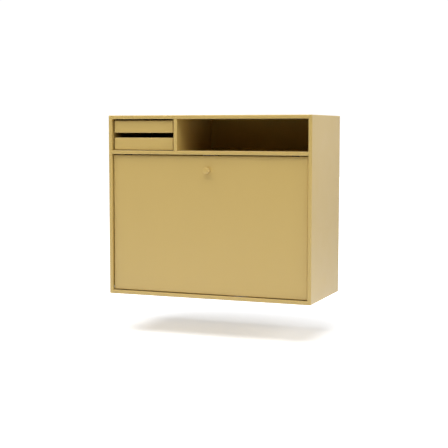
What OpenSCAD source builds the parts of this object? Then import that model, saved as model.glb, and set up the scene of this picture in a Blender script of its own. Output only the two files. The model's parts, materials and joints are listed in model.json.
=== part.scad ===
// Wall-hung writing cabinet: lacquered panels, a drop-down flap on slotted stays,
// two letter trays beside an open bay, and a rail that it hangs from.
// Origin: centre of the underside. X is the width, -Y the front, +Z up.

/* [Cabinet] */
// Overall width
cab_w = 696; // [600:1:860]
// Overall height
cab_h = 588; // [500:1:720]
// Overall depth, from the front edges to the wall
cab_d = 320; // [290:1:400]
// Thickness of the outer panels, the shelf and the divider
panel_t = 12; // [11:0.5:16]
// Rounding of the outside edges
outer_r = 2.5; // [1:0.5:4]
// Rounding of the front edges around the openings
inner_r = 1.5; // [0.5:0.25:2.5]
// Thickness of the back panel
back_t = 8; // [5:0.5:12]
// Hollow between the back panel and the wall
back_recess = 14; // [14:0.5:24]

/* [Top bay] */
// Clear height of the trays' bay and the open bay
top_bay_h = 102; // [85:1:140]
// Clear width of the trays' bay
tray_bay_w = 221; // [170:1:280]

/* [Flap] */
// Thickness of the flap
flap_t = 12; // [11:0.5:16]
// Gap at each side of the flap
flap_side_gap = 2.5; // [2:0.25:4]
// Gap between the flap and the shelf
flap_top_gap = 3.3; // [2.5:0.1:5]
// Gap between the flap and the bottom panel
flap_low_gap = 2.5; // [2.5:0.1:5]
// How far the flap and the trays stand back from the front edges
front_set_back = 8.5; // [1.5:0.25:12]
// Rounding of the edges of the flap and of the tray fronts
front_r = 1.5; // [1:0.25:3]
// Radius of the hinge pins
hinge_pin_r = 2.5; // [2:0.25:3]
// Radial clearance of every turning pin
running_clearance = 0.05; // [0.02:0.01:0.1]

/* [Knob] */
// Radius of the knob's head
knob_r = 10; // [8:0.5:14]
// Radius of the knob's neck
knob_neck_r = 5; // [4:0.5:7]
// Radius of the knob's foot
knob_foot_r = 8; // [6:0.5:10]
// How far the knob stands out from the flap
knob_l = 18; // [15:0.5:25]
// Distance from the flap's top edge to the knob's centre
knob_drop = 47; // [30:1:90]

/* [Stays] */
// Distance from the hinge line to each stay's two pivots
stay_r = 130; // [105:1:156]
// Angle from the flap's pivot back to the cabinet's stud
stay_lag = 20; // [16:1:26]
// Distance from the flap's middle plane to the stay's pivot
stay_offset = 16; // [15.5:0.5:20]
// Width of a stay arm
stay_w = 14; // [13:0.5:18]
// Thickness of a stay arm
stay_t = 2.5; // [2:0.25:3]
// Radius of the stud that a stay arm slides on
stud_r = 3; // [2.5:0.25:3.5]
// Radius of the rivet that a stay arm turns on
rivet_r = 2.5; // [2:0.25:3]
// How far the flap opens, in degrees
flap_open = 90; // [80:1:95]

/* [Trays] */
// Gap above the upper tray
tray_top_gap = 5; // [3:0.5:8]
// Finger gap between the trays
tray_finger_gap = 16; // [12:0.5:24]
// Gap under the lower tray
tray_low_gap = 2; // [1:0.5:4]
// Gap at each side of a tray
tray_side_gap = 5.5; // [4:0.5:8]
// Thickness of a tray's front
tray_front_t = 12; // [9:0.5:16]
// Thickness of a tray's sides
tray_side_t = 12; // [11:0.5:14]
// Thickness of a tray's back
tray_back_t = 9; // [6:0.5:12]
// Thickness of a tray's bottom
tray_bottom_t = 4; // [3:0.5:6]
// Height of the runners
runner_h = 8; // [6:0.5:10]
// How far a runner reaches into the tray's groove
runner_bite = 6; // [5:0.5:7]
// Clearance around each runner
runner_clearance = 0.4; // [0.3:0.1:0.8]

/* [Inner shelf] */
// Height of the loose shelf's top face
inner_shelf_z = 250; // [210:1:300]
// Depth of the loose shelf
inner_shelf_d = 200; // [150:1:220]

/* [Hanging] */
// Thickness of the wall rail
rail_t = 2; // [1.5:0.25:3]
// Radius of the rail's screw holes
rail_hole_r = 2.75; // [2.25:0.25:3.5]
// Distance between the outer pair of screw holes
rail_outer_pitch = 540; // [400:5:560]
// Distance between the inner pair of screw holes
rail_inner_pitch = 180; // [120:5:300]
// Radius of the cable outlet
outlet_r = 27; // [20:0.5:32]

/* [Hidden] */
$fn = 64;

lacquer = "#c4a860";
inside_lacquer = "#b99d58";
steel = "#9aa0a6";
zinc = "#c8ccd0";
birch = "#d9bf94";
nylon = "#e8e6df";
rubber = "#33322f";

LEFT = -1;
RIGHT = 1;
nudge = 1;

// Faces of the carcass
half_w = cab_w / 2;
in_x = half_w - panel_t;
front_y = -cab_d / 2;
wall_y = cab_d / 2;
back_rear = wall_y - back_recess;
back_front = back_rear - back_t;
floor_z = panel_t;
ceil_z = cab_h - panel_t;
shelf_top = ceil_z - top_bay_h;
shelf_low = shelf_top - panel_t;
divider_left = -in_x + tray_bay_w;
divider_mid = divider_left + panel_t / 2;

// Flap and its hinge line
flap_x = in_x - flap_side_gap;
flap_front = front_y + front_set_back;
flap_back = flap_front + flap_t;
flap_low = floor_z + flap_low_gap;
flap_top = shelf_low - flap_top_gap;
hinge_y = flap_front + flap_t / 2;
hinge_z = flap_low + flap_t / 2;
knob_z = flap_top - knob_drop;

// Dowels, splines and small screws
dowel_r = 3;
dowel_in_panel = 8;
dowel_in_end = 14;
spline_w = 8;
spline_t = 2.5;
spline_inset = 20;
screw_r = 1.5;
screw_head_r = 3;
screw_head_h = 1.6;
back_screw_r = 1.75;
back_screw_head_r = 3.5;
back_screw_l = 26;

// Hinge bushes and pins
bush_r = 4;
bush_depth = 9;
bush_flange_r = 6;
bush_flange_t = 0.8;
pin_in_bush = 7.5;
pin_in_flap = 18;

// Knob
knob_edge_r = 1.5;
knob_cove_r = 6;
knob_cove_at = 7.5;
knob_screw_r = 2;
knob_screw_bite = 11;
knob_screw_head_r = 4;
knob_screw_head_h = 2.4;

// Magnet catch and stops
strike_w = 34;
strike_h = 14;
strike_t = 1.2;
catch_w = 46;
catch_d = 15;
catch_h = 13;
catch_gap = 0.3;
magnet_w = 26;
magnet_d = 9;
magnet_h = 6;
magnet_proud = 0.8;
magnet_y = flap_back + strike_t + catch_gap;
catch_z = shelf_low - catch_h / 2;
catch_screw_pitch = 36;
stop_w = 24;
stop_d = 10;
stop_h = 9;
stop_x = flap_x - 45;

// Stays, laid out for the right-hand side and mirrored for the left
stay_up = sqrt(stay_r * stay_r - stay_offset * stay_offset);
pivot_y = hinge_y + stay_offset;
pivot_z = hinge_z + stay_up;
stud_angle = atan2(stay_up, stay_offset) - stay_lag;
stud_y = hinge_y + stay_r * cos(stud_angle);
stud_z = hinge_z + stay_r * sin(stud_angle);
arm_angle = atan2(stud_z - pivot_z, stud_y - pivot_y);
slot_near = 2 * stay_r * sin(stay_lag / 2);
slot_far = 2 * stay_r * sin((stay_lag + flap_open) / 2);
slot_clearance = 0.3;
slot_end_room = 0.5;
plate_t = 2;
plate_w = 22;
plate_h = 56;
plate_screw_pitch = 40;
arm_gap = 1.5;
arm_x = in_x - plate_t - arm_gap;
head_gap = 0.5;
stud_tail_r = 2;
stud_head_r = 6;
stud_head_t = 1.5;
ear_t = 2;
ear_x = arm_x - stay_t - head_gap;
ear_r = 9;
bracket_t = 2;
bracket_w = 30;
bracket_h = 40;
bracket_screw_pitch = 26;
rivet_head_r = 5;
rivet_head_t = 1.2;

// Trays and runners
tray_h = (top_bay_h - tray_top_gap - tray_finger_gap - tray_low_gap) / 2;
upper_tray_z = ceil_z - tray_top_gap - tray_h;
lower_tray_z = shelf_top + tray_low_gap;
tray_x0 = -in_x + tray_side_gap;
tray_x1 = divider_left - tray_side_gap;
buffer_r = 4;
buffer_t = 2.2;
buffer_gap = 0.3;
tray_end = back_front - buffer_t - buffer_gap;
tray_body_y = flap_front + tray_front_t;
tray_side_low = 1;
tray_side_drop = 2;
tray_side_h = tray_h - tray_side_low - tray_side_drop;
tray_bottom_lift = 2;
groove_h = runner_h + 2 * runner_clearance;
groove_d = runner_bite + runner_clearance;
groove_mid = tray_side_low + tray_side_h / 2;
runner_front = tray_body_y + 3;
runner_reach = tray_side_gap + runner_bite;
runner_screw_l = runner_reach + 8;
runner_screw_y = [runner_front + 20, (runner_front + back_front) / 2, back_front - 30];

// Shelf pins
shelf_pin_r = 2.5;
shelf_pin_in = 8;
shelf_pin_out = 8;
inner_shelf_gap = 1;
shelf_pin_z = inner_shelf_z - panel_t - shelf_pin_r;
shelf_pin_y = [back_front - inner_shelf_d + 30, back_front - 30];

// Wall rail, hangers and their screws
rail_x = in_x - 12;
rail_lip_front = wall_y - 9.5;
rail_lip_top = ceil_z - 10;
rail_web_z = ceil_z - 26;
rail_low = ceil_z - 61;
rail_hole_z = ceil_z - 44;
hanger_t = 2.5;
hanger_side_t = 2;
hanger_w = 28;
hanger_y = back_rear + 0.5;
hanger_top = ceil_z - 5.5;
hanger_leg_y = wall_y - 5.5;
hanger_leg_z = ceil_z - 23;
hanger_low = ceil_z - 71;
hanger_screw_z = [ceil_z - 60, ceil_z - 40];
hanger_screw_y = wall_y - 7;
adjuster_x = in_x - 16;
adjuster_r = 2.5;
adjuster_l = 9.5;

// Cable outlet
outlet_x = 0;
outlet_z = 75;
grommet_wall = 3;
grommet_flange = 3;
grommet_flange_t = 1.5;

// ---- shapes that repeat ----

// Rectangle with round corners, from the origin
module round_rect(w, h, r) {
    translate([r, 0]) square([w - 2 * r, h]);
    translate([0, r]) square([w, h - 2 * r]);
    for (x = [r, w - r], y = [r, h - r])
        translate([x, y]) circle(r);
}

// Board between two corners, with all its edges rounded
module rounded_board(low, high, r) {
    size = high - low;
    translate(low)
        intersection() {
            linear_extrude(size[2]) round_rect(size[0], size[1], r);
            translate([0, size[1], 0])
                rotate([90, 0, 0]) linear_extrude(size[1]) round_rect(size[0], size[2], r);
            rotate([90, 0, 90]) linear_extrude(size[0]) round_rect(size[1], size[2], r);
        }
}

// Plain block between two corners
module block(low, high) {
    translate(low) cube(high - low);
}

// Board whose two front edges are rounded, for the shelf and the divider
module fronted_board(low, high, r, upright = false) {
    size = high - low;
    translate(low)
        if (upright)
            linear_extrude(size[2]) front_profile(size[0], size[1], r);
        else
            translate([size[0], 0, 0])
                rotate([0, -90, 0]) linear_extrude(size[0]) front_profile(size[2], size[1], r);
}

// Outline of such a board: w across, d deep, with its front at y = 0
module front_profile(w, d, r) {
    translate([r, 0]) square([w - 2 * r, d]);
    translate([0, r]) square([w, d - r]);
    for (x = [r, w - r])
        translate([x, r]) circle(r);
}

// What a round edge of radius r leaves out of a square corner
module edge_waste(length, r) {
    linear_extrude(length)
        difference() {
            translate([-nudge, -nudge]) square(r + nudge);
            translate([r, r]) circle(r);
        }
}

// Children as drawn for the right-hand side, or mirrored for the left
module on_side(side) {
    mirror([side == LEFT ? 1 : 0, 0, 0]) children();
}

// Outside of a countersunk screw: its head is flush with z = 0 and it points down
module screw_shape(r, length, head_r, head_h) {
    translate([0, 0, -length]) cylinder(h = length, r = r);
    translate([0, 0, -head_h]) cylinder(h = head_h, r1 = r, r2 = head_r);
}

// Countersunk screw with a cross recess
module screw(r, length, head_r, head_h) {
    color(zinc)
        difference() {
            screw_shape(r, length, head_r, head_h);
            cross_recess(head_r * 1.1, head_h * 0.7);
        }
}

module cross_recess(width, depth) {
    for (a = [0, 90])
        rotate([0, 0, a]) translate([-width / 2, -0.4, -depth]) cube([width, 0.8, depth + nudge]);
}

// ---- carcass ----

// The four outer panels meet in mitres: outline is one panel's share, seen from the front
module carcass_panel(outline) {
    intersection() {
        rounded_board([-half_w, front_y, 0], [half_w, wall_y, cab_h], outer_r);
        translate([0, wall_y + nudge, 0])
            rotate([90, 0, 0]) linear_extrude(cab_d + 2 * nudge) polygon(outline);
    }
}

module corner_spline_shapes() {
    for (sx = [LEFT, RIGHT], top = [0, 1])
        translate([sx * (half_w - panel_t / 2), 0, top ? cab_h - panel_t / 2 : panel_t / 2])
            rotate([0, sx * (top ? 45 : -45), 0])
                block([-spline_w / 2, front_y + spline_inset, -spline_t / 2],
                      [spline_w / 2, wall_y - spline_inset, spline_t / 2]);
}

module corner_splines() {
    color(birch) corner_spline_shapes();
}

module top_panel() {
    color(lacquer)
        difference() {
            carcass_panel([[-half_w, cab_h], [-in_x, ceil_z], [in_x, ceil_z], [half_w, cab_h]]);
            translate([-half_w, front_y, ceil_z])
                rotate([90, 0, 90]) edge_waste(cab_w, inner_r);
            corner_spline_shapes();
            divider_dowel_shapes();
        }
}

module bottom_panel() {
    color(lacquer)
        difference() {
            carcass_panel([[-half_w, 0], [half_w, 0], [in_x, floor_z], [-in_x, floor_z]]);
            translate([-half_w, front_y, floor_z])
                rotate([90, 0, 90]) mirror([0, 1, 0]) edge_waste(cab_w, inner_r);
            corner_spline_shapes();
        }
}

module side_panel(side) {
    color(lacquer)
        difference() {
            on_side(side)
                difference() {
                    carcass_panel([[half_w, 0], [half_w, cab_h], [in_x, ceil_z], [in_x, floor_z]]);
                    translate([in_x, front_y, 0]) edge_waste(cab_h, inner_r);
                    bush_bore();
                    stay_plate_screw_places() screw_shape_small();
                    hanger_screw_places() screw_shape_small();
                    shelf_pin_places() cylinder(h = shelf_pin_in, r = shelf_pin_r);
                }
            corner_spline_shapes();
            shelf_dowel_shapes();
            if (side == LEFT)
                runner_screw_shapes(LEFT);
        }
}

module left_panel() {
    side_panel(LEFT);
}

module right_panel() {
    side_panel(RIGHT);
}

module shelf_panel() {
    color(lacquer)
        difference() {
            fronted_board([-in_x, front_y, shelf_low], [in_x, back_front, shelf_top], inner_r);
            shelf_dowel_shapes();
            divider_dowel_shapes();
            back_screw_shapes();
            magnet_screw_places() screw_shape_small();
            stop_screw_places() screw_shape_small();
        }
}

module shelf_dowel_shapes() {
    for (side = [LEFT, RIGHT], y = [front_y + 50, (front_y + back_front) / 2, back_front - 45])
        on_side(side)
            translate([in_x - dowel_in_end, y, shelf_low + panel_t / 2])
                rotate([0, 90, 0]) cylinder(h = dowel_in_end + dowel_in_panel, r = dowel_r);
}

module shelf_dowels() {
    color(birch) shelf_dowel_shapes();
}

module divider_panel() {
    color(lacquer)
        difference() {
            fronted_board([divider_left, front_y, shelf_top],
                          [divider_left + panel_t, back_front, ceil_z], inner_r, true);
            divider_dowel_shapes();
            back_screw_shapes();
            runner_screw_shapes(RIGHT);
        }
}

module divider_dowel_shapes() {
    for (y = [front_y + 60, back_front - 65], z = [shelf_top - dowel_in_panel, ceil_z - dowel_in_end])
        translate([divider_mid, y, z]) cylinder(h = dowel_in_end + dowel_in_panel, r = dowel_r);
}

module divider_dowels() {
    color(birch) divider_dowel_shapes();
}

module back_panel() {
    color(lacquer)
        difference() {
            block([-in_x, back_front, floor_z], [in_x, back_rear, ceil_z]);
            back_screw_shapes();
            translate([outlet_x, back_rear + nudge, outlet_z])
                rotate([90, 0, 0]) cylinder(h = back_t + 2 * nudge, r = outlet_r + grommet_wall);
        }
}

// Screws from behind, three into the shelf and one into the divider
module back_screw_places() {
    for (x = [-0.3 * cab_w, 0, 0.3 * cab_w])
        translate([x, back_rear, shelf_low + panel_t / 2]) rotate([-90, 0, 0]) children();
    translate([divider_mid, back_rear, ceil_z - 50]) rotate([-90, 0, 0]) children();
}

module back_screw_shapes() {
    back_screw_places() screw_shape(back_screw_r, back_screw_l, back_screw_head_r, 2);
}

module back_screws() {
    back_screw_places() screw(back_screw_r, back_screw_l, back_screw_head_r, 2);
}

module cable_grommet() {
    color(rubber)
        translate([outlet_x, back_rear, outlet_z])
            rotate([90, 0, 0])
                difference() {
                    union() {
                        cylinder(h = back_t, r = outlet_r + grommet_wall);
                        translate([0, 0, back_t])
                            cylinder(h = grommet_flange_t, r = outlet_r + grommet_wall + grommet_flange);
                    }
                    translate([0, 0, -nudge]) cylinder(h = back_t + 3 * nudge + grommet_flange_t, r = outlet_r);
                }
}

// ---- loose shelf ----

module inner_shelf() {
    color(inside_lacquer)
        fronted_board([-in_x + inner_shelf_gap, back_front - inner_shelf_d, inner_shelf_z - panel_t],
                      [in_x - inner_shelf_gap, back_front - inner_shelf_gap, inner_shelf_z], inner_r);
}

module shelf_pin_places() {
    for (y = shelf_pin_y)
        translate([in_x, y, shelf_pin_z]) rotate([0, 90, 0]) children();
}

module shelf_pins() {
    color(steel)
        for (side = [LEFT, RIGHT])
            on_side(side) shelf_pin_places()
                translate([0, 0, -shelf_pin_out])
                    cylinder(h = shelf_pin_out + shelf_pin_in, r = shelf_pin_r);
}

// ---- hinge ----

module bush_bore() {
    translate([in_x - nudge, hinge_y, hinge_z])
        rotate([0, 90, 0]) cylinder(h = bush_depth + nudge, r = bush_r);
}

module hinge_bushes() {
    color(nylon)
        for (side = [LEFT, RIGHT])
            on_side(side)
                translate([in_x, hinge_y, hinge_z]) rotate([0, 90, 0])
                    difference() {
                        union() {
                            cylinder(h = bush_depth, r = bush_r);
                            translate([0, 0, -bush_flange_t])
                                cylinder(h = bush_flange_t, r = bush_flange_r);
                        }
                        translate([0, 0, -nudge])
                            cylinder(h = bush_depth, r = hinge_pin_r + running_clearance);
                    }
}

module hinge_pin_places() {
    for (side = [LEFT, RIGHT])
        on_side(side)
            translate([flap_x - pin_in_flap, hinge_y, hinge_z]) rotate([0, 90, 0]) children();
}

module hinge_pin_shape() {
    cylinder(h = pin_in_flap + flap_side_gap + pin_in_bush, r = hinge_pin_r);
}

module hinge_pins() {
    color(steel) hinge_pin_places() hinge_pin_shape();
}

// ---- flap ----

module flap_panel() {
    color(lacquer)
        difference() {
            rounded_board([-flap_x, flap_front, flap_low], [flap_x, flap_back, flap_top], front_r);
            hinge_pin_places() hinge_pin_shape();
            translate([0, flap_back + nudge, knob_z])
                rotate([90, 0, 0]) cylinder(h = flap_t + 2 * nudge, r = knob_screw_r);
            strike_screw_place() screw_shape_small();
            for (side = [LEFT, RIGHT])
                on_side(side) bracket_screw_places() screw_shape_small();
        }
}

// Outline of the spool-shaped knob: foot at y = 0, face at y = knob_l
module knob_outline() {
    difference() {
        union() {
            square([knob_r - knob_edge_r, knob_l]);
            square([knob_r, knob_l - knob_edge_r]);
            translate([knob_r - knob_edge_r, knob_l - knob_edge_r]) circle(knob_edge_r);
        }
        translate([knob_foot_r, -nudge]) square([knob_r, knob_cove_at + nudge]);
        translate([knob_neck_r + knob_cove_r, knob_cove_at]) circle(knob_cove_r);
        translate([-knob_r, -nudge]) square([knob_r, knob_l + 2 * nudge]);
    }
}

module knob() {
    color(lacquer)
        translate([0, flap_front, knob_z]) rotate([90, 0, 0])
            difference() {
                rotate_extrude($fn = 96) knob_outline();
                translate([0, 0, -nudge]) cylinder(h = knob_screw_bite + nudge, r = knob_screw_r);
            }
}

module knob_screw() {
    color(zinc)
        translate([0, flap_back, knob_z]) rotate([90, 0, 0])
            difference() {
                union() {
                    cylinder(h = flap_t + knob_screw_bite, r = knob_screw_r);
                    translate([0, 0, -knob_screw_head_h])
                        cylinder(h = knob_screw_head_h, r1 = knob_screw_head_r - 0.8,
                                 r2 = knob_screw_head_r);
                }
                translate([0, 0, -knob_screw_head_h])
                    rotate([180, 0, 0]) cross_recess(4.4, 1.5);
            }
}

// ---- magnet catch and stops ----

module screw_shape_small() {
    screw_shape(screw_r, 11, screw_head_r, screw_head_h);
}

module small_screw() {
    screw(screw_r, 11, screw_head_r, screw_head_h);
}

module magnet_housing() {
    color(nylon)
        difference() {
            block([-catch_w / 2, magnet_y + magnet_proud, shelf_low - catch_h],
                  [catch_w / 2, magnet_y + magnet_proud + catch_d, shelf_low]);
            magnet_shape();
            magnet_screw_places()
                translate([0, 0, -catch_h]) cylinder(h = catch_h + nudge, r = screw_r);
            magnet_screw_places() cylinder(h = catch_h, r = screw_head_r);
            magnet_screw_places() screw_shape_small();
        }
}

module magnet_shape() {
    block([-magnet_w / 2, magnet_y, catch_z - magnet_h / 2],
          [magnet_w / 2, magnet_y + magnet_d, catch_z + magnet_h / 2]);
}

module magnet() {
    color(steel) magnet_shape();
}

// The heads sit in pockets, so that the screws reach up into the shelf
module magnet_screw_places() {
    for (s = [-1, 1])
        translate([s * catch_screw_pitch / 2, magnet_y + magnet_proud + catch_d / 2, shelf_low - 3])
            rotate([180, 0, 0]) children();
}

module magnet_screws() {
    magnet_screw_places() small_screw();
}

module strike_plate() {
    color(steel)
        difference() {
            block([-strike_w / 2, flap_back, catch_z - strike_h / 2],
                  [strike_w / 2, flap_back + strike_t, catch_z + strike_h / 2 - 3]);
            strike_screw_place() screw_shape(screw_r, 11, screw_head_r - 0.6, strike_t);
        }
}

module strike_screw_place() {
    translate([0, flap_back + strike_t, catch_z - 1.5]) rotate([-90, 0, 0]) children();
}

module strike_screw() {
    strike_screw_place() screw(screw_r, 11, screw_head_r - 0.6, strike_t);
}

module flap_stops() {
    color(rubber)
        for (s = [-1, 1])
            difference() {
                block([s * stop_x - stop_w / 2, flap_back + catch_gap, shelf_low - stop_h],
                      [s * stop_x + stop_w / 2, flap_back + catch_gap + stop_d, shelf_low]);
                stop_screw_places() cylinder(h = stop_h, r = screw_head_r);
                stop_screw_places() screw_shape_small();
            }
}

module stop_screw_places() {
    for (s = [-1, 1])
        translate([s * stop_x, flap_back + catch_gap + stop_d / 2, shelf_low - 4])
            rotate([180, 0, 0]) children();
}

module stop_screws() {
    stop_screw_places() small_screw();
}

// ---- flap stays ----

module stay_plate_screw_places() {
    for (s = [-1, 1])
        translate([in_x - plate_t, stud_y, stud_z + s * plate_screw_pitch / 2])
            rotate([0, -90, 0]) children();
}

module stay_plate(side) {
    color(steel)
        on_side(side)
            difference() {
                translate([in_x - plate_t, stud_y - plate_w / 2, stud_z - plate_h / 2])
                    rotate([90, 0, 90]) linear_extrude(plate_t) round_rect(plate_w, plate_h, 4);
                stay_plate_screw_places() screw_shape_small();
                translate([in_x - plate_t - nudge, stud_y, stud_z])
                    rotate([0, 90, 0]) cylinder(h = plate_t + 2 * nudge, r = stud_tail_r);
            }
}

module stay_plate_left() {
    stay_plate(LEFT);
}

module stay_plate_right() {
    stay_plate(RIGHT);
}

module stay_plate_screws() {
    for (side = [LEFT, RIGHT])
        on_side(side) stay_plate_screw_places() small_screw();
}

// Shouldered stud, riveted into its plate
module stay_stud(side) {
    color(zinc)
        on_side(side)
            translate([in_x, stud_y, stud_z]) rotate([0, -90, 0]) {
                cylinder(h = plate_t, r = stud_tail_r);
                translate([0, 0, plate_t])
                    cylinder(h = arm_gap + stay_t + head_gap, r = stud_r);
                translate([0, 0, plate_t + arm_gap + stay_t + head_gap])
                    cylinder(h = stud_head_t, r = stud_head_r);
            }
}

module stay_stud_left() {
    stay_stud(LEFT);
}

module stay_stud_right() {
    stay_stud(RIGHT);
}

// Outline of an arm along +x from its pivot, with the slot for the stud
module stay_outline() {
    slot_r = stud_r + slot_clearance;
    slot_a = slot_near - slot_end_room;
    slot_b = slot_far + slot_end_room;
    arm_end = slot_b + slot_r;
    difference() {
        union() {
            translate([0, -stay_w / 2]) square([arm_end, stay_w]);
            for (x = [0, arm_end])
                translate([x, 0]) circle(stay_w / 2);
        }
        circle(rivet_r + running_clearance);
        translate([slot_a, -slot_r]) square([slot_b - slot_a, 2 * slot_r]);
        for (x = [slot_a, slot_b])
            translate([x, 0]) circle(slot_r);
    }
}

module stay_arm(side) {
    color(steel)
        on_side(side)
            translate([arm_x - stay_t, pivot_y, pivot_z])
                rotate([90, 0, 90]) rotate([0, 0, arm_angle]) linear_extrude(stay_t) stay_outline();
}

module stay_arm_left() {
    stay_arm(LEFT);
}

module stay_arm_right() {
    stay_arm(RIGHT);
}

// Angle bracket on the flap, whose ear holds the arm's rivet
module flap_bracket(side) {
    color(steel)
        on_side(side)
            difference() {
                union() {
                    block([ear_x - bracket_w, flap_back, pivot_z - bracket_h / 2],
                          [ear_x, flap_back + bracket_t, pivot_z + bracket_h / 2]);
                    translate([ear_x - ear_t, 0, 0]) rotate([90, 0, 90]) linear_extrude(ear_t) {
                        translate([flap_back, pivot_z - bracket_h / 2])
                            square([bracket_t, bracket_h]);
                        translate([flap_back, pivot_z - ear_r])
                            square([pivot_y - flap_back, 2 * ear_r]);
                        translate([pivot_y, pivot_z]) circle(ear_r);
                    }
                }
                translate([ear_x - ear_t - nudge, pivot_y, pivot_z])
                    rotate([0, 90, 0]) cylinder(h = ear_t + 2 * nudge, r = rivet_r);
                bracket_screw_places() screw_shape_small();
            }
}

module flap_bracket_left() {
    flap_bracket(LEFT);
}

module flap_bracket_right() {
    flap_bracket(RIGHT);
}

module bracket_screw_places() {
    for (s = [-1, 1])
        translate([ear_x - ear_t - bracket_w / 2, flap_back + bracket_t,
                   pivot_z + s * bracket_screw_pitch / 2])
            rotate([-90, 0, 0]) children();
}

module bracket_screws() {
    for (side = [LEFT, RIGHT])
        on_side(side) bracket_screw_places() small_screw();
}

module stay_rivets() {
    inner_head = ear_x - ear_t;
    outer_head = arm_x + slot_clearance;
    color(zinc)
        for (side = [LEFT, RIGHT])
            on_side(side)
                translate([0, pivot_y, pivot_z]) rotate([0, 90, 0]) {
                    translate([0, 0, inner_head]) cylinder(h = outer_head - inner_head, r = rivet_r);
                    translate([0, 0, inner_head - rivet_head_t])
                        cylinder(h = rivet_head_t, r = rivet_head_r);
                    translate([0, 0, outer_head]) cylinder(h = rivet_head_t, r = rivet_head_r);
                }
}

// ---- trays ----

module tray_front(z) {
    color(lacquer)
        rounded_board([tray_x0, flap_front, z], [tray_x1, tray_body_y, z + tray_h], front_r);
}

// Side of a tray, with the runner's groove in its outer face
module tray_side(side, z) {
    mid_x = (tray_x0 + tray_x1) / 2;
    half = (tray_x1 - tray_x0) / 2;
    groove_z = z + groove_mid - groove_h / 2;
    color(lacquer)
        translate([mid_x, 0, 0]) on_side(side)
            difference() {
                block([half - tray_side_t, tray_body_y, z + tray_side_low],
                      [half, tray_end, z + tray_side_low + tray_side_h]);
                block([half - groove_d, tray_body_y - nudge, groove_z],
                      [half + nudge, tray_end + nudge, groove_z + groove_h]);
            }
}

module tray_back(z) {
    color(lacquer)
        block([tray_x0 + tray_side_t, tray_end - tray_back_t, z + tray_side_low],
              [tray_x1 - tray_side_t, tray_end, z + tray_side_low + tray_side_h]);
}

module tray_bottom(z) {
    color(lacquer)
        block([tray_x0 + tray_side_t, tray_body_y, z + tray_side_low + tray_bottom_lift],
              [tray_x1 - tray_side_t, tray_end - tray_back_t,
               z + tray_side_low + tray_bottom_lift + tray_bottom_t]);
}

module upper_tray_front() {
    tray_front(upper_tray_z);
}

module upper_tray_left_side() {
    tray_side(LEFT, upper_tray_z);
}

module upper_tray_right_side() {
    tray_side(RIGHT, upper_tray_z);
}

module upper_tray_back() {
    tray_back(upper_tray_z);
}

module upper_tray_bottom() {
    tray_bottom(upper_tray_z);
}

module lower_tray_front() {
    tray_front(lower_tray_z);
}

module lower_tray_left_side() {
    tray_side(LEFT, lower_tray_z);
}

module lower_tray_right_side() {
    tray_side(RIGHT, lower_tray_z);
}

module lower_tray_back() {
    tray_back(lower_tray_z);
}

module lower_tray_bottom() {
    tray_bottom(lower_tray_z);
}

// A runner on the left panel or on the divider's left face
module runner(side, z) {
    wall_x = side == LEFT ? -in_x : divider_left;
    z0 = z + groove_mid - runner_h / 2;
    color(nylon)
        difference() {
            block([side == LEFT ? wall_x : wall_x - runner_reach, runner_front, z0],
                  [side == LEFT ? wall_x + runner_reach : wall_x, back_front, z0 + runner_h]);
            runner_screw_shapes(side);
        }
}

module runner_upper_left() {
    runner(LEFT, upper_tray_z);
}

module runner_upper_right() {
    runner(RIGHT, upper_tray_z);
}

module runner_lower_left() {
    runner(LEFT, lower_tray_z);
}

module runner_lower_right() {
    runner(RIGHT, lower_tray_z);
}

module runner_screw_places(side) {
    head_x = side == LEFT ? -in_x + runner_reach : divider_left - runner_reach;
    for (z = [upper_tray_z, lower_tray_z], y = runner_screw_y)
        translate([head_x, y, z + groove_mid]) rotate([0, side == LEFT ? 90 : -90, 0]) children();
}

module runner_screw_shapes(side) {
    runner_screw_places(side)
        screw_shape(screw_r, runner_screw_l, screw_head_r, screw_head_h);
}

module runner_screws() {
    for (side = [LEFT, RIGHT])
        runner_screw_places(side)
            screw(screw_r, runner_screw_l, screw_head_r, screw_head_h);
}

// Soft discs that the trays close against
module tray_buffers() {
    color(rubber)
        for (z = [upper_tray_z, lower_tray_z], x = [tray_x0 + 30, tray_x1 - 30])
            translate([x, back_front, z + groove_mid])
                rotate([90, 0, 0]) cylinder(h = buffer_t, r = buffer_r);
}

// ---- hanging rail ----

module wall_rail() {
    color(steel)
        difference() {
            translate([-rail_x, 0, 0]) rotate([90, 0, 90]) linear_extrude(2 * rail_x) {
                translate([wall_y - rail_t, rail_low])
                    square([rail_t, rail_web_z - rail_low]);
                translate([rail_lip_front, rail_web_z - rail_t])
                    square([wall_y - rail_lip_front, rail_t]);
                translate([rail_lip_front, rail_web_z - rail_t])
                    square([rail_t, rail_lip_top - rail_web_z + rail_t]);
            }
            for (pitch = [rail_outer_pitch, rail_inner_pitch], s = [-1, 1])
                translate([s * pitch / 2, wall_y + nudge, rail_hole_z])
                    rotate([90, 0, 0]) cylinder(h = rail_t + 2 * nudge, r = rail_hole_r);
        }
}

// Bracket on the side panel that hooks over the rail's lip
module hanger(side) {
    color(zinc)
        on_side(side)
            difference() {
                union() {
                    block([in_x - hanger_side_t, hanger_y, hanger_low],
                          [in_x, wall_y - 2, hanger_top]);
                    block([in_x - hanger_w, hanger_y, hanger_leg_z - 15],
                          [in_x, hanger_y + hanger_t, hanger_top]);
                    block([in_x - hanger_w, hanger_y, hanger_top - hanger_t],
                          [in_x, hanger_leg_y + hanger_t, hanger_top]);
                    block([in_x - hanger_w, hanger_leg_y, hanger_leg_z],
                          [in_x, hanger_leg_y + hanger_t, hanger_top]);
                }
                hanger_screw_places() screw_shape_small();
                translate([adjuster_x, rail_lip_front + rail_t / 2, hanger_top - hanger_t - nudge])
                    cylinder(h = hanger_t + 2 * nudge, r = adjuster_r);
            }
}

module hanger_left() {
    hanger(LEFT);
}

module hanger_right() {
    hanger(RIGHT);
}

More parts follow.
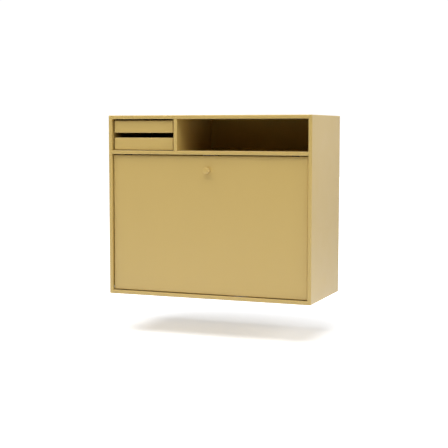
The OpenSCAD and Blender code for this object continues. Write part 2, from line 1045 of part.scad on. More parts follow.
module hanger_screw_places() {
    for (z = hanger_screw_z)
        translate([in_x - hanger_side_t, hanger_screw_y, z]) rotate([0, -90, 0]) children();
}

module hanger_screws() {
    for (side = [LEFT, RIGHT])
        on_side(side) hanger_screw_places() small_screw();
}

// Grub screws that stand on the rail and set the cabinet level
module adjusting_screws() {
    color(steel)
        for (side = [LEFT, RIGHT])
            on_side(side)
                translate([adjuster_x, rail_lip_front + rail_t / 2, rail_lip_top])
                    difference() {
                        cylinder(h = adjuster_l, r = adjuster_r);
                        translate([0, 0, adjuster_l - 2.5])
                            cylinder(h = 2.5 + nudge, r = 1.25, $fn = 6);
                    }
}

top_panel();
bottom_panel();
left_panel();
right_panel();
corner_splines();
shelf_panel();
shelf_dowels();
divider_panel();
divider_dowels();
back_panel();
back_screws();
cable_grommet();
inner_shelf();
shelf_pins();
hinge_bushes();
magnet_housing();
magnet();
magnet_screws();
flap_stops();
stop_screws();
stay_plate_left();
stay_plate_right();
stay_stud_left();
stay_stud_right();
stay_plate_screws();
runner_upper_left();
runner_upper_right();
runner_lower_left();
runner_lower_right();
runner_screws();
tray_buffers();
wall_rail();
hanger_left();
hanger_right();
hanger_screws();
adjusting_screws();
flap_panel();
knob();
knob_screw();
hinge_pins();
strike_plate();
strike_screw();
flap_bracket_left();
flap_bracket_right();
bracket_screws();
stay_rivets();
stay_arm_left();
stay_arm_right();
upper_tray_front();
upper_tray_left_side();
upper_tray_right_side();
upper_tray_back();
upper_tray_bottom();
lower_tray_front();
lower_tray_left_side();
lower_tray_right_side();
lower_tray_back();
lower_tray_bottom();
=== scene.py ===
import json
import math

import bmesh
import bpy
from mathutils import Matrix, Vector


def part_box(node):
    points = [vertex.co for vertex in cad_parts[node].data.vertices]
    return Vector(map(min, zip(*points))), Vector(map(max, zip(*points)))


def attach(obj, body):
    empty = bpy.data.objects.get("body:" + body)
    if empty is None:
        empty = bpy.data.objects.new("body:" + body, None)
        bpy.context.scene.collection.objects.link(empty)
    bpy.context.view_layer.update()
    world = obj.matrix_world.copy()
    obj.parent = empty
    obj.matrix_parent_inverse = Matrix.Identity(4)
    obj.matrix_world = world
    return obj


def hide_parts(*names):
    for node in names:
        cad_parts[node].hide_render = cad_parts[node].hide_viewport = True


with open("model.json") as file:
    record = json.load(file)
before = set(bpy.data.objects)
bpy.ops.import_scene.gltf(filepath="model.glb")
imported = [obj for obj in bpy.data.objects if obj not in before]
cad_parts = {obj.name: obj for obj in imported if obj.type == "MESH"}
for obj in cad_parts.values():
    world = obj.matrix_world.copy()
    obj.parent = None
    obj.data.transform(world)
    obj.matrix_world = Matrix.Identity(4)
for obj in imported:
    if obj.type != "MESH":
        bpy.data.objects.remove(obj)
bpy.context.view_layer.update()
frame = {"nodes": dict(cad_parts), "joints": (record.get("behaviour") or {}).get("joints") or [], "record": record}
scene = bpy.context.scene
print("frame loaded:", len(frame["nodes"]), "nodes")


# Lowest and highest corner of a node, and its middle
def nodeBox(node):
    low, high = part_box(node)
    return low, high, (low + high) / 2


jointRows = {row["name"]: row for row in frame["joints"]}
weld = 1e-6  # metres within which two corners are the same


def newGroup(name, kind, inputs, outputs):
    tree = bpy.data.node_groups.new(name, kind)
    for label, socketType, value in inputs:
        socket = tree.interface.new_socket(name=label, in_out="INPUT", socket_type=socketType)
        if value is not None:
            socket.default_value = value
    for label, socketType in outputs:
        tree.interface.new_socket(name=label, in_out="OUTPUT", socket_type=socketType)
    return tree, tree.nodes.new("NodeGroupInput"), tree.nodes.new("NodeGroupOutput")


def addNode(tree, kind, values=None, **settings):
    node = tree.nodes.new(kind)
    for key, value in settings.items():
        setattr(node, key, value)
    for key, value in (values or {}).items():
        node.inputs[key].default_value = value
    return node


def wire(tree, *pairs):
    for source, target in pairs:
        tree.links.new(source, target)


# Sets an input to a plain value, or wires another node's output to it
def feed(tree, value, socket):
    if isinstance(value, bpy.types.NodeSocket):
        tree.links.new(value, socket)
    else:
        socket.default_value = value


def mathNode(tree, operation, first, second, clamp=False):
    node = addNode(tree, "ShaderNodeMath", operation=operation, use_clamp=clamp)
    feed(tree, first, node.inputs[0])
    feed(tree, second, node.inputs[1])
    return node.outputs[0]


def mixColour(tree, factor, first, second):
    node = addNode(tree, "ShaderNodeMix", data_type="RGBA")
    for index, value in ((0, factor), (6, first), (7, second)):
        feed(tree, value, node.inputs[index])
    return node.outputs[2]


# One range of a value turned into another, and held at its ends
def mapped(tree, source, fromLow, fromHigh, toLow=0.0, toHigh=1.0):
    node = addNode(tree, "ShaderNodeMapRange", {"From Min": fromLow, "From Max": fromHigh,
                                                "To Min": toLow, "To Max": toHigh})
    tree.links.new(source, node.inputs["Value"])
    return node.outputs["Result"]


# Noise keeps mostly to its middle half, which is spread here over the whole range
def rangeOf(tree, source, low, high):
    return mapped(tree, source, 0.25, 0.75, low, high)


# Noise on Object coordinates, drawn out along an axis where it is given a stretch
def objectNoise(tree, scale, detail, roughness, stretch=None):
    place = addNode(tree, "ShaderNodeTexCoord").outputs["Object"]
    if stretch is not None:
        drawn = addNode(tree, "ShaderNodeVectorMath", operation="MULTIPLY")
        wire(tree, (place, drawn.inputs[0]), (stretch, drawn.inputs[1]))
        place = drawn.outputs[0]
    noise = addNode(tree, "ShaderNodeTexNoise", {"Detail": detail, "Roughness": roughness})
    tree.links.new(place, noise.inputs["Vector"])
    feed(tree, scale, noise.inputs["Scale"])
    return noise.outputs["Fac"]


# Slow drift of tone over a surface
def buildToneDrift():
    tree, given, out = newGroup(
        "toneDrift", "ShaderNodeTree",
        [("Colour", "NodeSocketColor", None), ("Amount", "NodeSocketFloat", 0.05),
         ("Scale", "NodeSocketFloat", 3.0)],
        [("Colour", "NodeSocketColor")])
    centred = mathNode(tree, "SUBTRACT", objectNoise(tree, given.outputs["Scale"], 3.0, 0.55), 0.5)
    drift = mathNode(tree, "MULTIPLY", centred, given.outputs["Amount"])
    hue = addNode(tree, "ShaderNodeHueSaturation")
    wire(tree, (given.outputs["Colour"], hue.inputs["Color"]),
         (mathNode(tree, "ADD", drift, 1.0), hue.inputs["Value"]),
         (hue.outputs["Color"], out.inputs["Colour"]))
    return tree


# Where hands and cloths have rubbed the edges: the rounded normal leaves the real one there
def buildEdgeWear():
    tree, given, out = newGroup(
        "edgeWear", "ShaderNodeTree",
        [("Radius", "NodeSocketFloat", 0.002), ("Strength", "NodeSocketFloat", 0.5),
         ("Breakup", "NodeSocketFloat", 60.0)],
        [("Mask", "NodeSocketFloat")])
    rounded = addNode(tree, "ShaderNodeBevel", samples=4)
    surface = addNode(tree, "ShaderNodeNewGeometry")
    dot = addNode(tree, "ShaderNodeVectorMath", operation="DOT_PRODUCT")
    wire(tree, (given.outputs["Radius"], rounded.inputs["Radius"]),
         (rounded.outputs["Normal"], dot.inputs[0]), (surface.outputs["Normal"], dot.inputs[1]))
    band = mapped(tree, mathNode(tree, "SUBTRACT", 1.0, dot.outputs["Value"]), 0.015, 0.16)
    patch = mapped(tree, objectNoise(tree, given.outputs["Breakup"], 4.0, 0.6), 0.35, 0.7, 0.35)
    worn = mathNode(tree, "MULTIPLY", band, patch)
    wire(tree, (mathNode(tree, "MULTIPLY", worn, given.outputs["Strength"], clamp=True),
                out.inputs["Mask"]))
    return tree


# Faint orange peel of sprayed lacquer, with a fine tooth under it
def buildSprayedSkin():
    tree, given, out = newGroup(
        "sprayedSkin", "ShaderNodeTree",
        [("Peel Scale", "NodeSocketFloat", 320.0), ("Tooth Scale", "NodeSocketFloat", 1600.0),
         ("Tooth Share", "NodeSocketFloat", 0.25)],
        [("Height", "NodeSocketFloat"), ("Haze", "NodeSocketFloat")])
    peel = objectNoise(tree, given.outputs["Peel Scale"], 2.0, 0.4)
    tooth = objectNoise(tree, given.outputs["Tooth Scale"], 2.0, 0.7)
    fine = mathNode(tree, "MULTIPLY", tooth, given.outputs["Tooth Share"])
    wire(tree, (mathNode(tree, "ADD", peel, fine), out.inputs["Height"]),
         (objectNoise(tree, 9.0, 5.0, 0.65), out.inputs["Haze"]))
    return tree


# Dust that settles on what faces up
def buildDust():
    tree, given, out = newGroup(
        "dust", "ShaderNodeTree",
        [("Amount", "NodeSocketFloat", 0.1), ("Scale", "NodeSocketFloat", 40.0)],
        [("Mask", "NodeSocketFloat")])
    surface = addNode(tree, "ShaderNodeNewGeometry")
    axes = addNode(tree, "ShaderNodeSeparateXYZ")
    tree.links.new(surface.outputs["Normal"], axes.inputs[0])
    up = mapped(tree, axes.outputs["Z"], 0.6, 1.0)
    lying = mathNode(tree, "MULTIPLY", up, objectNoise(tree, given.outputs["Scale"], 6.0, 0.7))
    wire(tree, (mathNode(tree, "MULTIPLY", lying, given.outputs["Amount"], clamp=True),
                out.inputs["Mask"]))
    return tree


# Fine lines drawn out along one axis, for rolled, brushed or turned metal and for wood
def buildDrawnGrain():
    tree, given, out = newGroup(
        "drawnGrain", "ShaderNodeTree",
        [("Stretch", "NodeSocketVector", (1.0, 1.0, 1.0)), ("Scale", "NodeSocketFloat", 600.0),
         ("Contrast", "NodeSocketFloat", 1.0)],
        [("Value", "NodeSocketFloat")])
    grain = objectNoise(tree, given.outputs["Scale"], 5.0, 0.6, given.outputs["Stretch"])
    centred = mathNode(tree, "SUBTRACT", grain, 0.5)
    scaled = mathNode(tree, "MULTIPLY", centred, given.outputs["Contrast"])
    wire(tree, (mathNode(tree, "ADD", scaled, 0.5, clamp=True), out.inputs["Value"]))
    return tree


toneDrift = buildToneDrift()
edgeWear = buildEdgeWear()
sprayedSkin = buildSprayedSkin()
dust = buildDust()
drawnGrain = buildDrawnGrain()
print("shader groups built")


def useGroup(tree, group, **values):
    node = tree.nodes.new("ShaderNodeGroup")
    node.node_tree = group
    for label, value in values.items():
        node.inputs[label.replace("_", " ")].default_value = value
    return node


def newMaterial(name, roughness, metallic=0.0, coat=0.0, coatRoughness=0.2, specular=0.5):
    material = bpy.data.materials.new(name)
    material.use_nodes = True
    tree = material.node_tree
    shader = tree.nodes["Principled BSDF"]
    shader.inputs["Roughness"].default_value = roughness
    shader.inputs["Metallic"].default_value = metallic
    shader.inputs["Coat Weight"].default_value = coat
    shader.inputs["Coat Roughness"].default_value = coatRoughness
    shader.inputs["Specular IOR Level"].default_value = specular
    return material, tree, shader


# Joins a finish's colour, roughness and relief to its shader
def dress(tree, shader, colour, roughness, height, strength, distance):
    bump = addNode(tree, "ShaderNodeBump", {"Strength": strength, "Distance": distance})
    wire(tree, (colour, shader.inputs["Base Color"]), (roughness, shader.inputs["Roughness"]),
         (height, bump.inputs["Height"]), (bump.outputs["Normal"], shader.inputs["Normal"]))


lacquerLook = {
    "carcass": {"colour": (0.533, 0.373, 0.112), "rough": (0.34, 0.42), "drift": 0.05, "wear": 0.35},
    "front": {"colour": (0.533, 0.373, 0.112), "rough": (0.36, 0.44), "drift": 0.04, "wear": 0.35},
    # The inner lacquer is darker than the outer paint, though the real boards are the same ochre: painted shade
    # for the dim inside of the open bay
    "inner": {"colour": (0.370, 0.225, 0.038), "rough": (0.52, 0.62), "drift": 0.06, "wear": 0.25,
              "coat": 0.0, "specular": 0.12},
    "knob": {"colour": (0.533, 0.373, 0.112), "rough": (0.26, 0.36), "drift": 0.08, "wear": 0.5},
}
lacquerSkin = {"driftScale": 2.5, "wearRadius": 0.0018, "wearBreakup": 45.0, "dust": 0.10,
               "dustScale": 55.0, "coat": 0.2, "coatRoughness": 0.25, "specular": 0.5,
               "wornTint": (0.70, 0.55, 0.27, 1.0), "dustTint": (0.62, 0.58, 0.50, 1.0),
               "bump": 0.12, "bumpDeep": 0.0002}


def makeLacquer(name, own):
    look = {**lacquerSkin, **own}
    material, tree, shader = newMaterial(name, look["rough"][0], coat=look["coat"],
                                         coatRoughness=look["coatRoughness"],
                                         specular=look["specular"])
    tone = useGroup(tree, toneDrift, Colour=(*look["colour"], 1.0), Amount=look["drift"],
                    Scale=look["driftScale"])
    worn = useGroup(tree, edgeWear, Radius=look["wearRadius"], Strength=look["wear"],
                    Breakup=look["wearBreakup"])
    spray = useGroup(tree, sprayedSkin)
    lying = useGroup(tree, dust, Amount=look["dust"], Scale=look["dustScale"])
    rubbed = mixColour(tree, worn.outputs["Mask"], tone.outputs["Colour"], look["wornTint"])
    dusty = mixColour(tree, lying.outputs["Mask"], rubbed, look["dustTint"])
    dress(tree, shader, dusty, rangeOf(tree, spray.outputs["Haze"], *look["rough"]),
          spray.outputs["Height"], look["bump"], look["bumpDeep"])
    return material


metalLook = {
    "rolledZinc": {"colour": (0.52, 0.53, 0.55), "dark": (0.36, 0.37, 0.40), "rough": (0.30, 0.50),
                   "stretch": (1.0, 1.0, 0.06), "scale": 420.0},
    "railZinc": {"colour": (0.52, 0.53, 0.55), "dark": (0.36, 0.37, 0.40), "rough": (0.30, 0.50),
                 "stretch": (0.06, 1.0, 1.0), "scale": 420.0},
    "brightZinc": {"colour": (0.66, 0.67, 0.68), "dark": (0.48, 0.49, 0.52), "rough": (0.20, 0.36),
                   "stretch": (1.0, 1.0, 1.0), "scale": 900.0},
    "turnedSteel": {"colour": (0.60, 0.60, 0.61), "dark": (0.44, 0.44, 0.46), "rough": (0.18, 0.32),
                    "stretch": (8.0, 0.4, 0.4), "scale": 500.0},
}
metalSkin = {"contrast": 1.2, "darkShare": 0.6, "spangle": 0.25, "spangleScale": 90.0,
             "wearRadius": 0.0005, "wear": 0.6, "wearBreakup": 200.0,
             "wornTint": (0.80, 0.80, 0.80, 1.0), "bump": 0.15, "bumpDeep": 0.0001}


def makeMetal(name, own):
    look = {**metalSkin, **own}
    material, tree, shader = newMaterial(name, look["rough"][0], metallic=1.0)
    grain = useGroup(tree, drawnGrain, Stretch=look["stretch"], Scale=look["scale"],
                     Contrast=look["contrast"]).outputs["Value"]
    spangle = useGroup(tree, toneDrift, Colour=(*look["colour"], 1.0), Amount=look["spangle"],
                       Scale=look["spangleScale"])
    worn = useGroup(tree, edgeWear, Radius=look["wearRadius"], Strength=look["wear"],
                    Breakup=look["wearBreakup"])
    shade = mixColour(tree, rangeOf(tree, grain, 0.0, look["darkShare"]),
                      spangle.outputs["Colour"], (*look["dark"], 1.0))
    edge = mixColour(tree, worn.outputs["Mask"], shade, look["wornTint"])
    dress(tree, shader, edge, rangeOf(tree, grain, *look["rough"]), grain, look["bump"],
          look["bumpDeep"])
    return material


plasticLook = {
    "naturalNylon": {"colour": (0.76, 0.73, 0.64), "rough": (0.42, 0.55), "scale": 700.0,
                     "bump": 0.10},
    "darkRubber": {"colour": (0.030, 0.029, 0.028), "rough": (0.62, 0.80), "scale": 1300.0,
                   "bump": 0.25},
}
plasticSkin = {"drift": 0.12, "driftScale": 30.0, "toothShare": 0.5, "wearRadius": 0.0008,
               "wear": 0.4, "wearBreakup": 120.0, "bumpDeep": 0.0002}


def makePlastic(name, own):
    look = {**plasticSkin, **own}
    material, tree, shader = newMaterial(name, look["rough"][0])
    tone = useGroup(tree, toneDrift, Colour=(*look["colour"], 1.0), Amount=look["drift"],
                    Scale=look["driftScale"])
    skin = useGroup(tree, sprayedSkin, Peel_Scale=look["scale"], Tooth_Share=look["toothShare"])
    worn = useGroup(tree, edgeWear, Radius=look["wearRadius"], Strength=look["wear"],
                    Breakup=look["wearBreakup"])
    paler = tuple(min(1.0, 1.25 * c + 0.03) for c in look["colour"])
    edge = mixColour(tree, worn.outputs["Mask"], tone.outputs["Colour"], (*paler, 1.0))
    dress(tree, shader, edge, rangeOf(tree, skin.outputs["Haze"], *look["rough"]),
          skin.outputs["Height"], look["bump"], look["bumpDeep"])
    return material


birchLook = {"pale": (0.70, 0.53, 0.33, 1.0), "dark": (0.50, 0.34, 0.18, 1.0), "rough": (0.5, 0.72),
             "stretch": (0.15, 0.15, 0.15), "scale": 900.0, "contrast": 1.4, "bump": 0.3,
             "bumpDeep": 0.0002}


def makeBirch(look):
    material, tree, shader = newMaterial("rawBirch", 0.6)
    grain = useGroup(tree, drawnGrain, Stretch=look["stretch"], Scale=look["scale"],
                     Contrast=look["contrast"]).outputs["Value"]
    shade = mixColour(tree, rangeOf(tree, grain, 0.0, 1.0), look["pale"], look["dark"])
    dress(tree, shader, shade, rangeOf(tree, grain, *look["rough"]), grain, look["bump"],
          look["bumpDeep"])
    return material


lacquers = {kind: makeLacquer(kind + "Lacquer", look) for kind, look in lacquerLook.items()}
metals = {name: makeMetal(name, look) for name, look in metalLook.items()}
plastics = {name: makePlastic(name, look) for name, look in plasticLook.items()}
slotFinish = {kind + "_lacquer": finish for kind, finish in lacquers.items()}
slotFinish.update({
    "birch": makeBirch(birchLook), "zinc_screws": metals["brightZinc"],
    "steel_fittings": metals["rolledZinc"], "bright_steel": metals["turnedSteel"],
    "dark_rubber": plastics["darkRubber"], "nylon": plastics["naturalNylon"],
})
slotOfNode = {row["node"]: row["material_slot"] for row in frame["record"]["subparts"]}
bodyOfNode = {node: body for body, nodes in frame["record"]["behaviour"]["bodies"].items()
              for node in nodes}
for node, piece in frame["nodes"].items():
    piece.data.materials.clear()
    piece.data.materials.append(slotFinish[slotOfNode[node]])
print("finishes made:", len(bpy.data.materials))


def addObject(name, mesh):
    made = bpy.data.objects.new(name, mesh)
    scene.collection.objects.link(made)
    return made


# A new object from a working mesh, with its faces turned outwards
def objectFrom(name, work):
    mesh = bpy.data.meshes.new(name)
    bmesh.ops.recalc_face_normals(work, faces=work.faces)
    work.to_mesh(mesh)
    work.free()
    return addObject(name, mesh)


# A working copy of a mesh, with corners that fall together merged
def workOf(mesh, near=weld):
    work = bmesh.new()
    work.from_mesh(mesh)
    bmesh.ops.remove_doubles(work, verts=work.verts, dist=near)
    return work


# What an object and its modifiers show, as plain mesh
def plainMesh(made):
    bpy.context.view_layer.update()
    shown = bpy.context.evaluated_depsgraph_get()
    return bpy.data.meshes.new_from_object(made.evaluated_get(shown), depsgraph=shown)


def smoothFaces(mesh, degrees=32):
    mesh.polygons.foreach_set("use_smooth", [True] * len(mesh.polygons))
    mesh.set_sharp_from_angle(angle=math.radians(degrees))


# Turns an object's modifiers into plain mesh
def bakeModifiers(made):
    mesh, old = plainMesh(made), made.data
    made.modifiers.clear()
    made.data = mesh
    if old.users == 0:
        bpy.data.meshes.remove(old)
    return made


# Even shading on flat faces beside narrow round edges
def evenShading(made, degrees=32):
    smoothFaces(made.data, degrees)
    weighted = made.modifiers.new("evenShading", "WEIGHTED_NORMAL")
    weighted.keep_sharp = True
    weighted.weight = 100
    return bakeModifiers(made)


# A piece stands for one node, rides on that node's body and takes its slot and finish
def placePiece(made, node, finish=None):
    slot = slotOfNode[node]
    made.data.materials.clear()
    made.data.materials.append(finish or slotFinish[slot])
    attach(made, bodyOfNode[node])
    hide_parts(node)


def boxWork(low, high):
    work = bmesh.new()
    bmesh.ops.create_cube(work, size=1.0)
    size, middle = high - low, (low + high) / 2
    for vert in work.verts:
        vert.co = Vector((vert.co.x * size.x, vert.co.y * size.y, vert.co.z * size.z)) + middle
    return work


def roundEdges(work, chosen, radius, segments=4):
    bmesh.ops.bevel(work, geom=chosen, offset=radius, segments=segments, profile=0.5,
                    affect="EDGES", clamp_overlap=True)


# Which edges of a box lie on its front face and along the given axis
def frontEdges(work, frontY, axis):
    found = []
    for edge in work.edges:
        ends = [v.co for v in edge.verts]
        along = (ends[0] - ends[1]).normalized()
        if all(abs(e.y - frontY) < weld for e in ends) and abs(along[axis]) > 0.9:
            found.append(edge)
    return found


def roundBoard(name, low, high, radius, segments=4):
    work = boxWork(low, high)
    roundEdges(work, work.edges[:], radius, segments)
    return evenShading(objectFrom(name, work))


# A board in place of a node, rounded all over
def boardFor(node, name, radius, segments=4):
    low, high = nodeBox(node)[:2]
    placePiece(roundBoard(name, low, high, radius, segments), node)


# A board in place of a node, rounded only on the front edges that run along the axis
def frontedFor(node, name, radius, axis):
    low, high = nodeBox(node)[:2]
    work = boxWork(low, high)
    roundEdges(work, frontEdges(work, low.y, axis), radius)
    placePiece(evenShading(objectFrom(name, work)), node)


carcass = {"outerRound": 0.0025, "innerRound": 0.0015, "segments": 5, "innerSegments": 3}


# The four mitred panels are cut from one frame, so their round edges meet
def makeCarcass():
    low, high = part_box("left_panel")[0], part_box("right_panel")[1]
    low.z, high.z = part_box("bottom_panel")[0].z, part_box("top_panel")[1].z
    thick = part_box("top_panel")[1].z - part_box("top_panel")[0].z
    outer = [(low.x, low.z), (high.x, low.z), (high.x, high.z), (low.x, high.z)]
    inner = [(low.x + thick, low.z + thick), (high.x - thick, low.z + thick),
             (high.x - thick, high.z - thick), (low.x + thick, high.z - thick)]
    whole = bmesh.new()
    rings = {}
    for side, y in (("front", low.y), ("back", high.y)):
        for part, corners in (("outer", outer), ("inner", inner)):
            rings[side, part] = [whole.verts.new((x, y, z)) for x, z in corners]
    for i in range(4):
        j = (i + 1) % 4
        quads = ((("front", "outer"), ("front", "inner")), (("back", "outer"), ("back", "inner")),
                 (("front", "outer"), ("back", "outer")), (("front", "inner"), ("back", "inner")))
        for first, second in quads:
            whole.faces.new((rings[first][i], rings[first][j], rings[second][j], rings[second][i]))
    bmesh.ops.recalc_face_normals(whole, faces=whole.faces)
    outerSet = set(rings["front", "outer"] + rings["back", "outer"])
    roundOuter = [e for e in whole.edges if e.verts[0] in outerSet and e.verts[1] in outerSet]
    roundEdges(whole, roundOuter, carcass["outerRound"], carcass["segments"])
    frontInner = []
    for edge in whole.edges:
        ends = [v.co for v in edge.verts]
        onFront = all(abs(e.y - low.y) < weld for e in ends)
        onHole = all(abs(abs(e.x) - (high.x - thick)) < weld or
                     min(abs(e.z - inner[0][1]), abs(e.z - inner[2][1])) < weld for e in ends)
        inHole = all(abs(e.x) < high.x - thick + weld and
                     inner[0][1] - weld < e.z < inner[2][1] + weld for e in ends)
        if onFront and onHole and inHole:
            frontInner.append(edge)
    roundEdges(whole, frontInner, carcass["innerRound"], carcass["innerSegments"])
    corner = {"left": inner[0][0], "right": inner[1][0], "low": inner[0][1], "high": inner[2][1]}
    cuts = {
        "top_panel": (("left", "high", 1, 1), ("right", "high", -1, 1)),
        "bottom_panel": (("left", "low", 1, -1), ("right", "low", -1, -1)),
        "left_panel": (("left", "high", -1, -1), ("left", "low", -1, 1)),
        "right_panel": (("right", "high", 1, -1), ("right", "low", 1, 1)),
    }
    for node, planes in cuts.items():
        share = whole.copy()
        for side, level, nx, nz in planes:
            cut = bmesh.ops.bisect_plane(
                share, geom=share.verts[:] + share.edges[:] + share.faces[:], dist=weld,
                plane_co=(corner[side], 0, corner[level]), plane_no=(-nx, 0, -nz), clear_outer=True)
            rim = [g for g in cut["geom_cut"] if isinstance(g, bmesh.types.BMEdge)]
            bmesh.ops.holes_fill(share, edges=rim)
        placePiece(evenShading(objectFrom(node.replace("_p", "P"), share)), node)
    whole.free()


makeCarcass()

for node, name, axis in (("shelf_panel", "shelfPanel", 0), ("divider_panel", "dividerPanel", 2),
                         ("inner_shelf", "innerShelf", 0)):
    frontedFor(node, name, carcass["innerRound"], axis)
print("carcass done")

flap = {"edgeRound": 0.0015, "segments": 4}
boardFor("flap_panel", "flapPanel", flap["edgeRound"], flap["segments"])


# Closed solid of revolution: profile is (radius, distance along axis), ends on the axis
def lathe(name, profile, origin, axis, steps=72, ring=False):
    work = bmesh.new()
    turn = Vector((0, 0, 1)).rotation_difference(Vector(axis)).to_matrix()
    rows = []
    for radius, along in profile:
        if radius < 1e-9:
            rows.append([work.verts.new(turn @ Vector((0, 0, along)) + Vector(origin))])
            continue
        row = []
        for step in range(steps):
            angle = 2 * math.pi * step / steps
            point = Vector((radius * math.cos(angle), radius * math.sin(angle), along))
            row.append(work.verts.new(turn @ point + Vector(origin)))
        rows.append(row)
    pairs = list(zip(rows, rows[1:]))
    if ring:
        pairs.append((rows[-1], rows[0]))
    for first, second in pairs:
        for step in range(steps):
            after = (step + 1) % steps
            loop = [first[step % len(first)], first[after % len(first)],
                    second[after % len(second)], second[step % len(second)]]
            corners = list(dict.fromkeys(loop))
            if len(corners) > 2:
                work.faces.new(corners)
    return objectFrom(name, work)


def arcPoints(centre, radius, start, stop, count):
    points = []
    for i in range(count + 1):
        angle = math.radians(start + (stop - start) * i / count)
        points.append((centre[0] + radius * math.cos(angle), centre[1] + radius * math.sin(angle)))
    return points


knob = {"foot": 0.008, "footEdge": 0.0005, "coveRound": 0.006, "coveAt": 0.0075, "neck": 0.005,
        "headEdge": 0.0015, "dome": 0.0004}


# Spool-shaped knob: foot, cove and a head with a barely domed face
def makeKnob():
    low, high, middle = nodeBox("knob")
    head, length = (high.x - low.x) / 2, high.y - low.y
    coveX = knob["neck"] + knob["coveRound"]
    footAngle = 180 + math.degrees(math.acos((coveX - knob["foot"]) / knob["coveRound"]))
    headAngle = 180 - math.degrees(math.acos((coveX - head) / knob["coveRound"]))
    footEdge, edge, face = knob["footEdge"], knob["headEdge"], length - knob["dome"]
    profile = [(0, 0), (knob["foot"] - footEdge, 0)]
    profile += arcPoints((knob["foot"] - footEdge, footEdge), footEdge, -90, 0, 4)[1:]
    profile += arcPoints((coveX, knob["coveAt"]), knob["coveRound"], footAngle, headAngle, 20)
    profile += arcPoints((head - edge, face - edge), edge, 0, 90, 8)
    for share in (0.75, 0.5, 0.25):
        profile.append(((head - edge) * share, face + knob["dome"] * (1 - share ** 2)))
    profile.append((0, length))
    made = lathe("knobTurned", profile, (middle.x, high.y, middle.z), (0, -1, 0), 96)
    smoothFaces(made.data, 40)
    placePiece(made, "knob")


makeKnob()

tray = {"frontRound": 0.0015, "boardRound": 0.0006, "sideRound": 0.0008}


def makeTray(which):
    body = which + "_tray"
    boardFor(body + "_front", which + "TrayFront", tray["frontRound"])
    for part in ("back", "bottom"):
        boardFor(f"{body}_{part}", which + "Tray" + part.title(), tray["boardRound"], 2)


for which in ("upper", "lower"):
    makeTray(which)
print("flap, knob and trays done")


# Bevels every edge sharper than the given angle
def bevelled(made, width, degrees):
    rounding = made.modifiers.new("brokenEdges", "BEVEL")
    rounding.width, rounding.segments = width, 2
    rounding.limit_method, rounding.angle_limit = "ANGLE", math.radians(degrees)
    rounding.use_clamp_overlap = True
    bakeModifiers(made)
    return evenShading(made, 35)


# Boxes of the separate solids in a node, in a steady order
def solidBoxes(node):
    work = workOf(frame["nodes"][node].data)
    waiting, boxes = set(work.verts), []
    while waiting:
        front = [waiting.pop()]
        part = list(front)
        while front:
            vert = front.pop()
            for edge in vert.link_edges:
                other = edge.other_vert(vert)
                if other in waiting:
                    waiting.remove(other)
                    front.append(other)
                    part.append(other)
        corners = [vert.co for vert in part]
        low = Vector([min(c[i] for c in corners) for i in range(3)])
        high = Vector([max(c[i] for c in corners) for i in range(3)])
        boxes.append((low, high))
    work.free()
    boxes.sort(key=lambda box: tuple(round(v, 5) for v in box[0]))
    return boxes


# The node's own shape with its edges broken, for the sides of the trays
def softened(node, name, width):
    work = workOf(frame["nodes"][node].data)
    bmesh.ops.dissolve_limit(work, angle_limit=math.radians(0.5), verts=work.verts, edges=work.edges)
    return bevelled(objectFrom(name, work), width, 40)


# rimStep and neckStep keep each ring of corners clear of the next. crossShare is the width of
# the driver's cross as a share of the head's radius, and crossArm that of a blade as a share of
# the cross. Flush heads stand proud of their face by a hair, so that both show
fittingShape = {"rimStep": 0.00002, "neckStep": 0.00004, "crossArm": 0.18, "crossShare": 1.15,
                "proud": 0.00012, "edge": 0.00025, "recess": 0.0011, "weld": 1e-7}


